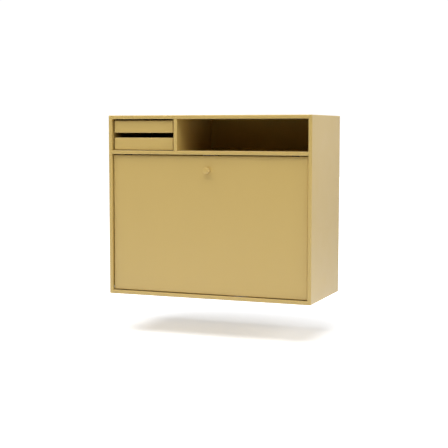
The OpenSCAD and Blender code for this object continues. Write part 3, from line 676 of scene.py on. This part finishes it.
# Points with a direction each: where a fitting's outer face sits, and the way its shank goes
def buildFittingTree():
    sizes = (("Head Radius", 0.003), ("Head Length", 0.0016), ("Shank Radius", 0.0015),
             ("Length", 0.011), ("Edge", 0.0003), ("Cylindrical Head", 0.0), ("Cross Width", 0.0),
             ("Socket Radius", 0.0), ("Recess Depth", 0.001), ("Sides", 32), ("Seed", 7))
    inputs = [("Places", "NodeSocketGeometry", None)]
    for label, value in sizes:
        inputs.append((label, "NodeSocketInt" if isinstance(value, int) else "NodeSocketFloat", value))
    inputs.append(("Finish", "NodeSocketMaterial", None))
    tree, given, out = newGroup("turnedFitting", "GeometryNodeTree", inputs,
                                [("Fittings", "NodeSocketGeometry")])
    value = given.outputs
    edge, head, shank = value["Edge"], value["Head Radius"], value["Shank Radius"]
    under = mathNode(tree, "MULTIPLY", value["Head Length"], value["Cylindrical Head"])
    rimEnd = mathNode(tree, "MAXIMUM", under, mathNode(tree, "ADD", edge, fittingShape["rimStep"]))
    tip = mathNode(tree, "SUBTRACT", value["Length"], edge)
    stations = []
    for degrees in (0, 30, 60, 90):
        back = math.sin(math.radians(degrees))
        deep = mathNode(tree, "MULTIPLY", edge, 1 - math.cos(math.radians(degrees)))
        inset = mathNode(tree, "MULTIPLY", edge, 1 - back)
        stations.append((deep, mathNode(tree, "SUBTRACT", head, inset)))
    stations.append((rimEnd, head))
    stations.append((mathNode(tree, "ADD", value["Head Length"], fittingShape["neckStep"]), shank))
    stations.append((tip, shank))
    stations.append((value["Length"], mathNode(tree, "SUBTRACT", shank, edge)))
    line = addNode(tree, "GeometryNodeCurvePrimitiveLine")
    spaced = addNode(tree, "GeometryNodeResampleCurve", {"Count": len(stations)})
    index = addNode(tree, "GeometryNodeInputIndex")
    picks = []
    for column in (0, 1):
        pick = addNode(tree, "GeometryNodeIndexSwitch", data_type="FLOAT")
        while len(pick.index_switch_items) < len(stations):
            pick.index_switch_items.new()
        tree.links.new(index.outputs[0], pick.inputs["Index"])
        for row, station in enumerate(stations):
            tree.links.new(station[column], pick.inputs[row + 1])
        picks.append(pick.outputs[0])
    spot = addNode(tree, "ShaderNodeCombineXYZ")
    placed = addNode(tree, "GeometryNodeSetPosition")
    sized = addNode(tree, "GeometryNodeSetCurveRadius")
    circle = addNode(tree, "GeometryNodeCurvePrimitiveCircle", {"Radius": 1.0})
    body = addNode(tree, "GeometryNodeCurveToMesh", {"Fill Caps": True})
    wire(tree, (line.outputs[0], spaced.inputs["Curve"]), (picks[0], spot.inputs["Z"]),
         (spaced.outputs[0], placed.inputs["Geometry"]), (spot.outputs[0], placed.inputs["Position"]),
         (placed.outputs[0], sized.inputs["Curve"]), (picks[1], sized.inputs["Radius"]),
         (value["Sides"], circle.inputs["Resolution"]), (sized.outputs[0], body.inputs["Curve"]),
         (circle.outputs[0], body.inputs["Profile Curve"]))
    if "Scale" in body.inputs:
        tree.links.new(picks[1], body.inputs["Scale"])
    # Driver recess: a cross, a hexagon socket, or neither where its width is nothing
    deep = mathNode(tree, "MULTIPLY", value["Recess Depth"], 2.0)
    cut = addNode(tree, "GeometryNodeMeshBoolean", operation="DIFFERENCE", solver="EXACT")
    tree.links.new(body.outputs[0], cut.inputs["Mesh 1"])
    arm = mathNode(tree, "MULTIPLY", value["Cross Width"], fittingShape["crossArm"])
    for first, second in ((value["Cross Width"], arm), (arm, value["Cross Width"])):
        size = addNode(tree, "ShaderNodeCombineXYZ")
        blade = addNode(tree, "GeometryNodeMeshCube")
        wire(tree, (first, size.inputs["X"]), (second, size.inputs["Y"]), (deep, size.inputs["Z"]),
             (size.outputs[0], blade.inputs["Size"]), (blade.outputs[0], cut.inputs["Mesh 2"]))
    socketCut = addNode(tree, "GeometryNodeMeshBoolean", operation="DIFFERENCE", solver="EXACT")
    hexagon = addNode(tree, "GeometryNodeMeshCylinder", {"Vertices": 6})
    wire(tree, (value["Socket Radius"], hexagon.inputs["Radius"]), (deep, hexagon.inputs["Depth"]),
         (body.outputs[0], socketCut.inputs["Mesh 1"]), (hexagon.outputs[0], socketCut.inputs["Mesh 2"]))
    crossed = addNode(tree, "GeometryNodeSwitch", input_type="GEOMETRY")
    socketed = addNode(tree, "GeometryNodeSwitch", input_type="GEOMETRY")
    wire(tree, (mathNode(tree, "GREATER_THAN", value["Cross Width"], 0.0), crossed.inputs["Switch"]),
         (body.outputs[0], crossed.inputs["False"]), (cut.outputs[0], crossed.inputs["True"]),
         (mathNode(tree, "GREATER_THAN", value["Socket Radius"], 0.0), socketed.inputs["Switch"]),
         (crossed.outputs[0], socketed.inputs["False"]), (socketCut.outputs[0], socketed.inputs["True"]))
    aim = addNode(tree, "GeometryNodeInputNamedAttribute", {"Name": "aim"}, data_type="FLOAT_VECTOR")
    align = addNode(tree, "FunctionNodeAlignRotationToVector", axis="Z")
    turn = addNode(tree, "FunctionNodeRandomValue", data_type="FLOAT")
    turn.inputs[3].default_value = 2 * math.pi
    spin = addNode(tree, "FunctionNodeAxisAngleToRotation")
    both = addNode(tree, "FunctionNodeRotateRotation", rotation_space="LOCAL")
    points = addNode(tree, "GeometryNodeInstanceOnPoints")
    real = addNode(tree, "GeometryNodeRealizeInstances")
    finished = addNode(tree, "GeometryNodeSetMaterial")
    wire(tree, (aim.outputs[0], align.inputs["Vector"]), (value["Seed"], turn.inputs["Seed"]),
         (turn.outputs[1], spin.inputs["Angle"]), (align.outputs[0], both.inputs["Rotation"]),
         (spin.outputs[0], both.inputs["Rotate By"]), (value["Places"], points.inputs["Points"]),
         (socketed.outputs[0], points.inputs["Instance"]), (both.outputs[0], points.inputs["Rotation"]),
         (points.outputs[0], real.inputs[0]), (real.outputs[0], finished.inputs["Geometry"]),
         (value["Finish"], finished.inputs["Material"]), (finished.outputs[0], out.inputs["Fittings"]))
    return tree


fittingTree = buildFittingTree()


# Runs the tree on a list of (point, direction) and keeps the result as plain mesh
def setFittings(name, places, finish, sizes):
    mesh = bpy.data.meshes.new(name + "Places")
    mesh.from_pydata([tuple(point) for point, aim in places], [], [])
    aims = mesh.attributes.new("aim", "FLOAT_VECTOR", "POINT")
    for row, (point, aim) in enumerate(places):
        aims.data[row].vector = aim
    source = addObject(name + "Places", mesh)
    modifier = source.modifiers.new("fittings", "NODES")
    modifier.node_group = fittingTree
    keys = {item.name: item.identifier for item in fittingTree.interface.items_tree}
    for label, value in {**sizes, "Finish": finish}.items():
        modifier[keys[label]] = value
    result = plainMesh(source)
    source.modifiers.clear()
    bpy.data.objects.remove(source)
    bpy.data.meshes.remove(mesh)
    work = workOf(result, fittingShape["weld"])
    bmesh.ops.recalc_face_normals(work, faces=work.faces)
    work.to_mesh(result)
    work.free()
    result.name = name
    smoothFaces(result, 38)
    return addObject(name, result)


# Sideways, away from the given x
def outward(middle, fromX=0.0):
    return Vector((math.copysign(1, middle.x - fromX), 0, 0))


# Each row: piece name, the way the shank points, shank radius, head length. pan is 1 for a head
# with straight sides, socket is a hexagon's radius, plain has no recess for a driver
fittings = {
    "back_screws": {"name": "backScrews", "aim": (0, -1, 0), "shank": 0.00175, "head": 0.0020},
    "runner_screws": {"name": "runnerScrews", "aim": "runner", "shank": 0.0015, "head": 0.0016},
    "stay_plate_screws": {"name": "stayPlateScrews", "aim": "out", "shank": 0.0015, "head": 0.0016},
    "hanger_screws": {"name": "hangerScrews", "aim": "out", "shank": 0.0015, "head": 0.0016},
    "magnet_screws": {"name": "magnetScrews", "aim": (0, 0, 1), "shank": 0.0015, "head": 0.0016},
    "stop_screws": {"name": "stopScrews", "aim": (0, 0, 1), "shank": 0.0015, "head": 0.0016},
    "bracket_screws": {"name": "bracketScrews", "aim": (0, -1, 0), "shank": 0.0015, "head": 0.0016},
    "strike_screw": {"name": "strikeScrew", "aim": (0, -1, 0), "shank": 0.0015, "head": 0.0012},
    "knob_screw": {"name": "knobScrew", "aim": (0, -1, 0), "shank": 0.0020, "head": 0.0024, "pan": 1.0,
                   "edge": 0.0006},
    "adjusting_screws": {"name": "adjustingScrews", "aim": (0, 0, -1), "shank": 0.0025, "head": 0.001,
                         "pan": 1.0, "socket": 0.00125, "deep": 0.0025},
    "shelf_pins": {"name": "shelfPins", "aim": "out", "shank": 0.0025, "head": 0.002, "pan": 1.0,
                   "edge": 0.0005, "plain": True},
    "hinge_pins": {"name": "hingePins", "aim": "out", "shank": 0.0025, "head": 0.002, "pan": 1.0,
                   "edge": 0.0004, "plain": True},
    "tray_buffers": {"name": "trayBuffers", "aim": (0, 1, 0), "shank": 0.0040, "head": 0.0012, "pan": 1.0,
                     "edge": 0.0005, "plain": True},
}


def makeFittings(node, row):
    places, aimRule = [], row["aim"]
    for low, high in solidBoxes(node):
        middle = (low + high) / 2
        if aimRule == "out":
            aim = outward(middle)
        elif aimRule == "runner":
            aim = outward(middle, nodeBox("upper_tray_front")[2].x)
        else:
            aim = Vector(aimRule)
        along = [i for i in range(3) if abs(aim[i]) > 0.5][0]
        start = middle.copy()
        start[along] = low[along] if aim[along] > 0 else high[along]
        length = high[along] - low[along]
        across = max(high[i] - low[i] for i in range(3) if i != along)
        places.append((start, aim))
    plain = row.get("plain", False) or "socket" in row
    proud = 0.0 if plain or "pan" in row else fittingShape["proud"]
    places = [(point - aim * proud, aim) for point, aim in places]
    radius = across / 2
    sizes = {"Head Radius": radius, "Head Length": row["head"], "Shank Radius": row["shank"],
             "Length": length, "Edge": row.get("edge", fittingShape["edge"]),
             "Cylindrical Head": row.get("pan", 0.0),
             "Cross Width": 0.0 if plain else radius * fittingShape["crossShare"],
             "Socket Radius": row.get("socket", 0.0),
             "Recess Depth": row.get("deep", fittingShape["recess"])}
    made = setFittings(row["name"], places, slotFinish[slotOfNode[node]], sizes)
    placePiece(made, node)


for node, row in fittings.items():
    makeFittings(node, row)
print("fittings done")

stud = {"shank": 0.003, "headLong": 0.0015, "edge": 0.0005}
rivet = {"shank": 0.0025, "headLong": 0.0012, "edge": 0.0009}


def makeStuds():
    for side in ("left", "right"):
        node = "stay_stud_" + side
        low, high, middle = nodeBox(node)
        aim = outward(middle)
        start = Vector((low.x if aim.x > 0 else high.x, middle.y, middle.z))
        sizes = {"Head Radius": (high.z - low.z) / 2, "Head Length": stud["headLong"],
                 "Shank Radius": stud["shank"], "Length": high.x - low.x, "Edge": stud["edge"],
                 "Cylindrical Head": 1.0, "Sides": 48}
        made = setFittings(side + "StayStud", [(start, aim)], metals["brightZinc"], sizes)
        placePiece(made, node)


# A rivet is two fittings tip to tip, with a head at each end
def makeRivets():
    places = []
    for low, high in solidBoxes("stay_rivets"):
        middle = (low + high) / 2
        places.append((Vector((low.x, middle.y, middle.z)), Vector((1, 0, 0))))
        places.append((Vector((high.x, middle.y, middle.z)), Vector((-1, 0, 0))))
        long, wide = high.x - low.x, high.z - low.z
    sizes = {"Head Radius": wide / 2, "Head Length": rivet["headLong"], "Shank Radius": rivet["shank"],
             "Length": long / 2, "Edge": rivet["edge"], "Cylindrical Head": 1.0, "Sides": 40}
    made = setFittings("stayRivets", places, metals["brightZinc"], sizes)
    placePiece(made, "stay_rivets")


makeStuds()
makeRivets()


def joinPieces(name, pieces):
    work = bmesh.new()
    for piece in pieces:
        work.from_mesh(piece.data)
        bpy.data.objects.remove(piece)
    mesh = bpy.data.meshes.new(name)
    work.to_mesh(mesh)
    work.free()
    return addObject(name, mesh)


bush = {"bore": 0.00255, "boreDeep": 0.0080, "flange": 0.0060, "flangeThick": 0.0008, "outer": 0.0040,
        "edge": 0.0002}


# Flanged nylon bush with a blind bore, one in each side panel
def makeBushes():
    edge, rim = bush["edge"], -bush["flangeThick"]
    made = []
    for low, high in solidBoxes("hinge_bushes"):
        middle = (low + high) / 2
        aim = outward(middle)
        face = (high.x - bush["flangeThick"]) if aim.x < 0 else (low.x + bush["flangeThick"])
        deep = (high.x - low.x) - bush["flangeThick"]
        profile = [(0, bush["boreDeep"]), (bush["bore"], bush["boreDeep"]), (bush["bore"], rim + edge),
                   (bush["bore"] + edge, rim), (bush["flange"] - edge, rim), (bush["flange"], rim + edge),
                   (bush["flange"], 0), (bush["outer"], 0), (bush["outer"], deep - edge),
                   (bush["outer"] - edge, deep), (0, deep)]
        made.append(lathe("bush", profile, (face, middle.y, middle.z), aim, 48))
    joined = joinPieces("hingeBushes", made)
    smoothFaces(joined.data, 35)
    placePiece(joined, "hinge_bushes")


makeBushes()


def stadium(start, stop, radius, count=20):
    return (arcPoints((start, 0), radius, 90, 270, count) + arcPoints((stop, 0), radius, -90, 90, count))


def roundRect(width, height, radius, count=6):
    w, h = width / 2 - radius, height / 2 - radius
    return (arcPoints((w, h), radius, 0, 90, count) + arcPoints((-w, h), radius, 90, 180, count) +
            arcPoints((-w, -h), radius, 180, 270, count) + arcPoints((w, -h), radius, 270, 360, count))


def circleOf(centre, radius, count=32):
    return arcPoints(centre, radius, 0, 360 * (count - 1) / count, count - 1)


# Flat plate from an outline and its holes; across and up give the plane it lies in
def cutPlate(name, loops, thick, edge, centre, across, up):
    curve = bpy.data.curves.new(name, "CURVE")
    curve.dimensions, curve.fill_mode = "2D", "BOTH"
    curve.extrude, curve.bevel_depth = thick / 2 - edge, edge
    curve.bevel_resolution, curve.offset = 2, -edge
    for loop in loops:
        spline = curve.splines.new("POLY")
        spline.points.add(len(loop) - 1)
        for point, (u, v) in zip(spline.points, loop):
            point.co = (u, v, 0, 1)
        spline.use_cyclic_u = True
    drawn = addObject(name + "Outline", curve)
    solid = plainMesh(drawn)
    bpy.data.objects.remove(drawn)
    bpy.data.curves.remove(curve)
    across, up = Vector(across).normalized(), Vector(up).normalized()
    facing = Matrix((across, up, across.cross(up))).transposed().to_4x4()
    work = workOf(solid)
    bpy.data.meshes.remove(solid)
    bmesh.ops.transform(work, matrix=Matrix.Translation(centre) @ facing, verts=work.verts)
    return evenShading(objectFrom(name, work), 35)


# Strip of sheet bent along a path in two axes and drawn out along the third
def bentStrip(name, path, thick, inner, low, high, axes, along):
    middle = inner + thick / 2
    points = [Vector(path[0])]
    for before, corner, after in zip(path, path[1:], path[2:]):
        corner = Vector(corner)
        back, ahead = (Vector(before) - corner).normalized(), (Vector(after) - corner).normalized()
        half = back.angle(ahead) / 2
        centre = corner + (back + ahead).normalized() * (middle / math.sin(half))
        start = corner + back * (middle / math.tan(half)) - centre
        sweep = start.angle_signed(corner + ahead * (middle / math.tan(half)) - centre)
        for step in range(9):
            turn = Matrix.Rotation(-sweep * step / 8, 2)
            points.append(centre + turn @ start)
    points.append(Vector(path[-1]))
    left, right = [], []
    for i, point in enumerate(points):
        way = (points[min(i + 1, len(points) - 1)] - points[max(i - 1, 0)]).normalized()
        side = Vector((-way.y, way.x)) * thick / 2
        left.append(point + side)
        right.append(point - side)
    loop = left + right[::-1]
    work = bmesh.new()
    rings = []
    for level in (low, high):
        ring = []
        for point in loop:
            spot = [0.0, 0.0, 0.0]
            spot[axes[0]], spot[axes[1]], spot[along] = point.x, point.y, level
            ring.append(work.verts.new(spot))
        rings.append(ring)
    for i in range(len(loop)):
        j = (i + 1) % len(loop)
        work.faces.new((rings[0][i], rings[0][j], rings[1][j], rings[1][i]))
    work.faces.new(rings[0])
    work.faces.new(rings[1])
    return objectFrom(name, work)


def joinSolids(made, others, operation):
    for other in others:
        tool = made.modifiers.new("solid", "BOOLEAN")
        tool.operation, tool.solver, tool.object = operation, "EXACT", other
    bakeModifiers(made)
    for other in others:
        bpy.data.objects.remove(other)
    return made


def breakEdges(made, width):
    work = workOf(made.data)
    bmesh.ops.dissolve_limit(work, angle_limit=math.radians(0.3), verts=work.verts, edges=work.edges)
    work.to_mesh(made.data)
    work.free()
    return bevelled(made, width, 50)


def hole(centre, radius, long, axis):
    work = bmesh.new()
    turn = Vector((0, 0, 1)).rotation_difference(Vector(axis)).to_matrix().to_4x4()
    bmesh.ops.create_cone(work, cap_ends=True, segments=32, radius1=radius, radius2=radius, depth=long,
                          matrix=Matrix.Translation(centre) @ turn)
    return objectFrom("holeCutter", work)


stayArm = {"thick": 0.0025, "width": 0.014, "slot": 0.0033, "slotRoom": 0.0005, "pivotHole": 0.00254,
           "edge": 0.0004}


# Slotted arm from the flap's rivet past the cabinet's stud
def makeStayArm(side):
    node = "stay_arm_" + side
    middle = nodeBox(node)[2]
    pivot = Vector(jointRows[side + "_stay_pivot"]["pos_m"])
    studAt = nodeBox("stay_stud_" + side)[2]
    near = math.hypot(studAt.y - pivot.y, studAt.z - pivot.z)
    along = Vector((0, studAt.y - pivot.y, studAt.z - pivot.z)) / near
    half = stayArm["width"] / 2
    tail = max((vert.co - pivot).dot(along) for vert in frame["nodes"][node].data.vertices)
    slotEnd = tail - half - stayArm["slot"]
    loops = [stadium(0, tail - half, half),
             stadium(near - stayArm["slotRoom"], slotEnd, stayArm["slot"], 12),
             circleOf((0, 0), stayArm["pivotHole"])]
    up = Vector((1, 0, 0)).cross(along)
    made = cutPlate(side + "StayArm", loops, stayArm["thick"], stayArm["edge"],
                    (middle.x, pivot.y, pivot.z), along, up)
    placePiece(made, node)


stayPlate = {"corner": 0.004, "edge": 0.0003, "studHole": 0.002}


def makeStayPlate(side):
    node = "stay_plate_" + side
    low, high, middle = nodeBox(node)
    loops = [roundRect(high.y - low.y, high.z - low.z, stayPlate["corner"])]
    made = cutPlate(side + "StayPlate", loops, high.x - low.x, stayPlate["edge"], middle,
                    (0, 1, 0), (0, 0, 1))
    placePiece(made, node)


flapBracket = {"thick": 0.002, "ear": 0.009, "bend": 0.0008, "corner": 0.003, "edge": 0.0003,
               "lap": 0.004}


# Base screwed to the flap, bent up into the ear that holds the rivet
def makeFlapBracket(side):
    node = "flap_bracket_" + side
    low, high, middle = nodeBox(node)
    pivot = Vector(jointRows[side + "_stay_pivot"]["pos_m"])
    sign = 1 if side == "right" else -1
    outer = high.x if sign > 0 else low.x
    thick, ear, bend = flapBracket["thick"], flapBracket["ear"], flapBracket["bend"]
    run = bend + thick
    face = low.y
    wide = (high.x - low.x) - run
    base = cutPlate("bracketBase", [roundRect(wide, high.z - low.z, flapBracket["corner"])], thick,
                    flapBracket["edge"], (outer - sign * (run + wide / 2), face + thick / 2, middle.z),
                    (1, 0, 0), (0, 0, 1))
    corner = [(outer - sign * (run + flapBracket["lap"]), face + thick / 2),
              (outer - sign * thick / 2, face + thick / 2),
              (outer - sign * thick / 2, pivot.y)]
    bent = bentStrip("bracketBend", corner, thick, bend, middle.z - ear, middle.z + ear, (0, 1), 2)
    lobe = [(face + run, -ear)] + arcPoints((pivot.y, 0), ear, -90, 90, 24) + [(face + run, ear)]
    earPlate = cutPlate("bracketEar", [lobe], thick, flapBracket["edge"],
                        (outer - sign * thick / 2, 0, pivot.z), (0, 1, 0), (0, 0, 1))
    made = joinSolids(base, [bent, earPlate], "UNION")
    made.name = side + "FlapBracket"
    smoothFaces(made.data, 35)
    placePiece(made, node)


for side in ("left", "right"):
    makeStayArm(side)
    makeStayPlate(side)
    makeFlapBracket(side)

wallRail = {"thick": 0.002, "bend": 0.0015, "webDrop": 0.016, "holeRadius": 0.00275, "holeDrop": 0.034,
            "pitches": (0.540, 0.180), "edge": 0.0002, "cutter": 0.02}


# Folded rail with a lip that the hangers drop over
def makeWallRail():
    low, high = nodeBox("wall_rail")[:2]
    half, web = wallRail["thick"] / 2, high.z - wallRail["webDrop"]
    path = [(low.y + half, high.z), (low.y + half, web - half), (high.y - half, web - half),
            (high.y - half, low.z)]
    made = bentStrip("wallRail", path, wallRail["thick"], wallRail["bend"], low.x, high.x, (1, 2), 0)
    cutters = []
    for pitch in wallRail["pitches"]:
        for sign in (-1, 1):
            at = (sign * pitch / 2, high.y - half, high.z - wallRail["holeDrop"])
            cutters.append(hole(at, wallRail["holeRadius"], wallRail["cutter"], (0, 1, 0)))
    joinSolids(made, cutters, "DIFFERENCE")
    breakEdges(made, wallRail["edge"])
    placePiece(made, "wall_rail", metals["railZinc"])


makeWallRail()

hanger = {"thick": 0.0025, "side": 0.002, "bend": 0.001, "frontLeg": 0.0325, "backLeg": 0.0175,
          "edge": 0.0003, "inset": 0.001}


# Hook folded over the rail's lip, with a cheek screwed to the side panel
def makeHanger(side):
    node = "hanger_" + side
    low, high = nodeBox(node)[:2]
    half = hanger["thick"] / 2
    backY = high.y - half - hanger["inset"]
    path = [(low.y + half, high.z - hanger["frontLeg"]), (low.y + half, high.z - half),
            (backY, high.z - half), (backY, high.z - hanger["backLeg"])]
    made = bentStrip("hanger", path, hanger["thick"], hanger["bend"], low.x, high.x, (1, 2), 0)
    if side == "right":
        cheekLow, cheekHigh = Vector((high.x - hanger["side"], low.y, low.z)), high
    else:
        cheekLow, cheekHigh = low, Vector((low.x + hanger["side"], high.y, high.z))
    cheek = objectFrom("cheek", boxWork(cheekLow, cheekHigh))
    joinSolids(made, [cheek], "UNION")
    breakEdges(made, hanger["edge"])
    made.name = side + "Hanger"
    placePiece(made, node)


for side in ("left", "right"):
    makeHanger(side)

strikePlate = {"corner": 0.0015, "edge": 0.0002}
low, high, middle = nodeBox("strike_plate")
made = cutPlate("strikePlate", [roundRect(high.x - low.x, high.z - low.z, strikePlate["corner"])],
                high.y - low.y, strikePlate["edge"], middle, (1, 0, 0), (0, 0, 1))
placePiece(made, "strike_plate")
print("sheet metal done")

mouldings = {"backEdge": 0.0005, "runnerEdge": 0.0007, "catchEdge": 0.0012, "stopEdge": 0.0012,
             "magnetEdge": 0.0003, "wellFront": 0.001, "pocket": 0.0031, "cutter": 0.05}


# Pockets that screw heads sit in, from a face up to the heads
def pocketsFor(node, fromZ):
    return [hole(((low + high) / 2).to_2d().to_3d() + Vector((0, 0, fromZ)), mouldings["pocket"],
                 2 * (low.z - fromZ), (0, 0, 1)) for low, high in solidBoxes(node)]


def makeBackPanel():
    low, high, middle = nodeBox("back_panel")
    outletHigh, outlet = nodeBox("cable_grommet")[1:]
    at, sleeve = (outlet.x, middle.y, outlet.z), outletHigh.x - outlet.x - grommet["lip"]
    made = roundBoard("backPanel", low, high, mouldings["backEdge"], 2)
    joinSolids(made, [hole(at, sleeve, mouldings["cutter"], (0, 1, 0))], "DIFFERENCE")
    placePiece(evenShading(made), "back_panel")


grommet = {"lip": 0.003, "wall": 0.003, "flangeThick": 0.0015, "edge": 0.0006, "fine": 0.0003}


# Rubber ring through the back panel, with a soft-edged flange on the inside
def makeGrommet():
    low, high, middle = nodeBox("cable_grommet")
    rim = (high.x - low.x) / 2
    sleeve, bore = rim - grommet["lip"], rim - grommet["lip"] - grommet["wall"]
    deep, thick = high.y - low.y, grommet["flangeThick"]
    edge, fine = grommet["edge"], grommet["fine"]
    profile = arcPoints((bore + edge, edge), edge, 180, 270, 4)
    profile += arcPoints((rim - edge, edge), edge, -90, 0, 4)
    profile += arcPoints((rim - edge, thick - fine), fine, 0, 90, 2)
    profile += [(sleeve, thick), (sleeve, deep - fine), (sleeve - fine, deep), (bore + edge, deep)]
    profile += arcPoints((bore + edge, deep - edge), edge, 90, 180, 4)[1:]
    made = lathe("cableGrommet", profile, (middle.x, low.y, middle.z), (0, 1, 0), 96, ring=True)
    smoothFaces(made.data, 40)
    placePiece(made, "cable_grommet")


def makeMouldings():
    for height in ("upper", "lower"):
        for side in ("left", "right"):
            node = f"runner_{height}_{side}"
            boardFor(node, height + side.title() + "Runner", mouldings["runnerEdge"], 3)
            node = f"{height}_tray_{side}_side"
            placePiece(softened(node, height + "Tray" + side.title() + "Side", tray["sideRound"]), node)
    low, high = nodeBox("magnet_housing")[:2]
    housing = roundBoard("magnetHousing", low, high, mouldings["catchEdge"], 4)
    magnetLow, magnetHigh = nodeBox("magnet")[:2]
    mouth = magnetLow - Vector((0, mouldings["wellFront"], 0))
    well = objectFrom("well", boxWork(mouth, magnetHigh))
    joinSolids(housing, [well] + pocketsFor("magnet_screws", low.z), "DIFFERENCE")
    placePiece(evenShading(housing), "magnet_housing")
    boardFor("magnet", "magnetBlock", mouldings["magnetEdge"], 2)
    stops = [roundBoard("stop", low, high, mouldings["stopEdge"], 4)
             for low, high in solidBoxes("flap_stops")]
    made = joinPieces("flapStops", stops)
    joinSolids(made, pocketsFor("stop_screws", nodeBox("flap_stops")[0].z), "DIFFERENCE")
    placePiece(evenShading(made), "flap_stops")


makeBackPanel()
makeGrommet()
makeMouldings()
print("boards, runners and mouldings done")

viewpoint = {"lens": 86.2, "film": 36.0, "clipEnd": 60.0, "at": (1.295, -3.314, 0.536),
             "yaw": 21.39, "pitch": 4.93, "roll": 0.07}


def makeCamera():
    data = bpy.data.cameras.new("studioCamera")
    data.lens, data.sensor_width = viewpoint["lens"], viewpoint["film"]
    data.clip_end = viewpoint["clipEnd"]
    camera = addObject("studioCamera", data)
    yaw, pitch, roll = [math.radians(viewpoint[key]) for key in ("yaw", "pitch", "roll")]
    look = Vector((-math.sin(yaw) * math.cos(pitch), math.cos(yaw) * math.cos(pitch), -math.sin(pitch)))
    turn = look.to_track_quat("-Z", "Y").to_matrix() @ Matrix.Rotation(roll, 3, "Z")
    camera.matrix_world = Matrix.Translation(viewpoint["at"]) @ turn.to_4x4()
    scene.camera = camera


floorLook = {"drop": 0.130, "size": 24.0, "base": (0.79, 0.80, 0.82), "shape": (0.6, 1.0, 1.0),
             "fadeFrom": 0.35, "fadeTo": 1.1, "nearGlow": 0.52, "farGlow": 1.2,
             "aheadFrom": -0.9, "aheadTo": -0.1, "glossAhead": 1.8, "glossBehind": 0.75}


# Pale matt floor. The camera sees it run out to plain white, and gloss sees it brighter in front
def makeFloor():
    middle = Vector((0, 0, -floorLook["drop"]))
    work = bmesh.new()
    bmesh.ops.create_grid(work, x_segments=8, y_segments=8, size=floorLook["size"] / 2,
                          matrix=Matrix.Translation(middle))
    floor = objectFrom("studioFloor", work)
    material, tree, shader = newMaterial("paleFloor", 0.9, specular=0.0)
    shader.inputs["Base Color"].default_value = (*floorLook["base"], 1.0)
    shader.inputs["Emission Color"].default_value = (1.0, 1.0, 1.0, 1.0)
    place = addNode(tree, "ShaderNodeTexCoord").outputs["Object"]
    centred = addNode(tree, "ShaderNodeVectorMath", {1: middle}, operation="SUBTRACT")
    shaped = addNode(tree, "ShaderNodeVectorMath", {1: floorLook["shape"]}, operation="MULTIPLY")
    far = addNode(tree, "ShaderNodeVectorMath", operation="LENGTH")
    axes = addNode(tree, "ShaderNodeSeparateXYZ")
    path = addNode(tree, "ShaderNodeLightPath")
    wire(tree, (place, centred.inputs[0]), (centred.outputs[0], shaped.inputs[0]),
         (shaped.outputs[0], far.inputs[0]), (place, axes.inputs[0]))
    fade = mapped(tree, far.outputs["Value"], floorLook["fadeFrom"], floorLook["fadeTo"],
                  floorLook["nearGlow"], floorLook["farGlow"])
    ahead = mapped(tree, axes.outputs["Y"], floorLook["aheadFrom"], floorLook["aheadTo"],
                   floorLook["glossAhead"], floorLook["glossBehind"])
    seen = mathNode(tree, "MULTIPLY", path.outputs["Is Camera Ray"], fade)
    mirrored = mathNode(tree, "MULTIPLY", path.outputs["Is Glossy Ray"], ahead)
    wire(tree, (mathNode(tree, "ADD", seen, mirrored), shader.inputs["Emission Strength"]))
    floor.data.materials.append(material)


lights = {
    "overhead": {"at": (-0.3, -0.9, 2.3), "aim": (-0.3, -0.9, 0.0), "size": (3.6, 2.4), "power": 112.0},
    "rightFill": {"at": (3.0, -0.45, 1.45), "aim": (0.3, 0.0, 0.3), "size": (1.8, 1.6), "power": 40.0},
    "leftFill": {"at": (-3.0, -1.2, 1.2), "aim": (-0.3, 0.0, 0.3), "size": (1.6, 1.6), "power": 12.0},
}


def makeLights():
    for name, settings in lights.items():
        data = bpy.data.lights.new(name, "AREA")
        data.shape = "RECTANGLE"
        data.size, data.size_y = settings["size"]
        data.energy = settings["power"]
        lamp = addObject(name, data)
        aim = Vector(settings["aim"]) - Vector(settings["at"])
        turn = aim.to_track_quat("-Z", "Y").to_matrix().to_4x4()
        lamp.matrix_world = Matrix.Translation(settings["at"]) @ turn


sky = {"seen": 1.05, "diffuse": 0.03, "coveFrom": -0.25, "coveTo": 0.35, "frontGloss": 0.03,
       "backGloss": 1.0}


# White behind the object, a white cove in its gloss, and only a little light from all round
def makeWorld():
    world = bpy.data.worlds.new("studioWorld")
    scene.world = world
    world.use_nodes = True
    tree = world.node_tree
    tree.nodes.clear()
    path = addNode(tree, "ShaderNodeLightPath")
    way = addNode(tree, "ShaderNodeTexCoord")
    axes = addNode(tree, "ShaderNodeSeparateXYZ")
    tree.links.new(way.outputs["Generated"], axes.inputs[0])
    cove = mapped(tree, axes.outputs["Y"], sky["coveFrom"], sky["coveTo"], sky["frontGloss"],
                  sky["backGloss"])
    white = addNode(tree, "ShaderNodeBackground", {"Color": (1, 1, 1, 1), "Strength": sky["seen"]})
    glow = addNode(tree, "ShaderNodeBackground", {"Color": (1, 1, 1, 1), "Strength": sky["diffuse"]})
    mirrorGlow = addNode(tree, "ShaderNodeBackground", {"Color": (1, 1, 1, 1)})
    glossy = addNode(tree, "ShaderNodeMixShader")
    seen = addNode(tree, "ShaderNodeMixShader")
    out = addNode(tree, "ShaderNodeOutputWorld")
    wire(tree, (cove, mirrorGlow.inputs["Strength"]),
         (path.outputs["Is Glossy Ray"], glossy.inputs[0]), (glow.outputs[0], glossy.inputs[1]),
         (mirrorGlow.outputs[0], glossy.inputs[2]), (path.outputs["Is Camera Ray"], seen.inputs[0]),
         (glossy.outputs[0], seen.inputs[1]), (white.outputs[0], seen.inputs[2]),
         (seen.outputs[0], out.inputs["Surface"]))


makeCamera()
makeFloor()
makeLights()
makeWorld()
scene.view_settings.view_transform = "Standard"
print("studio ready")
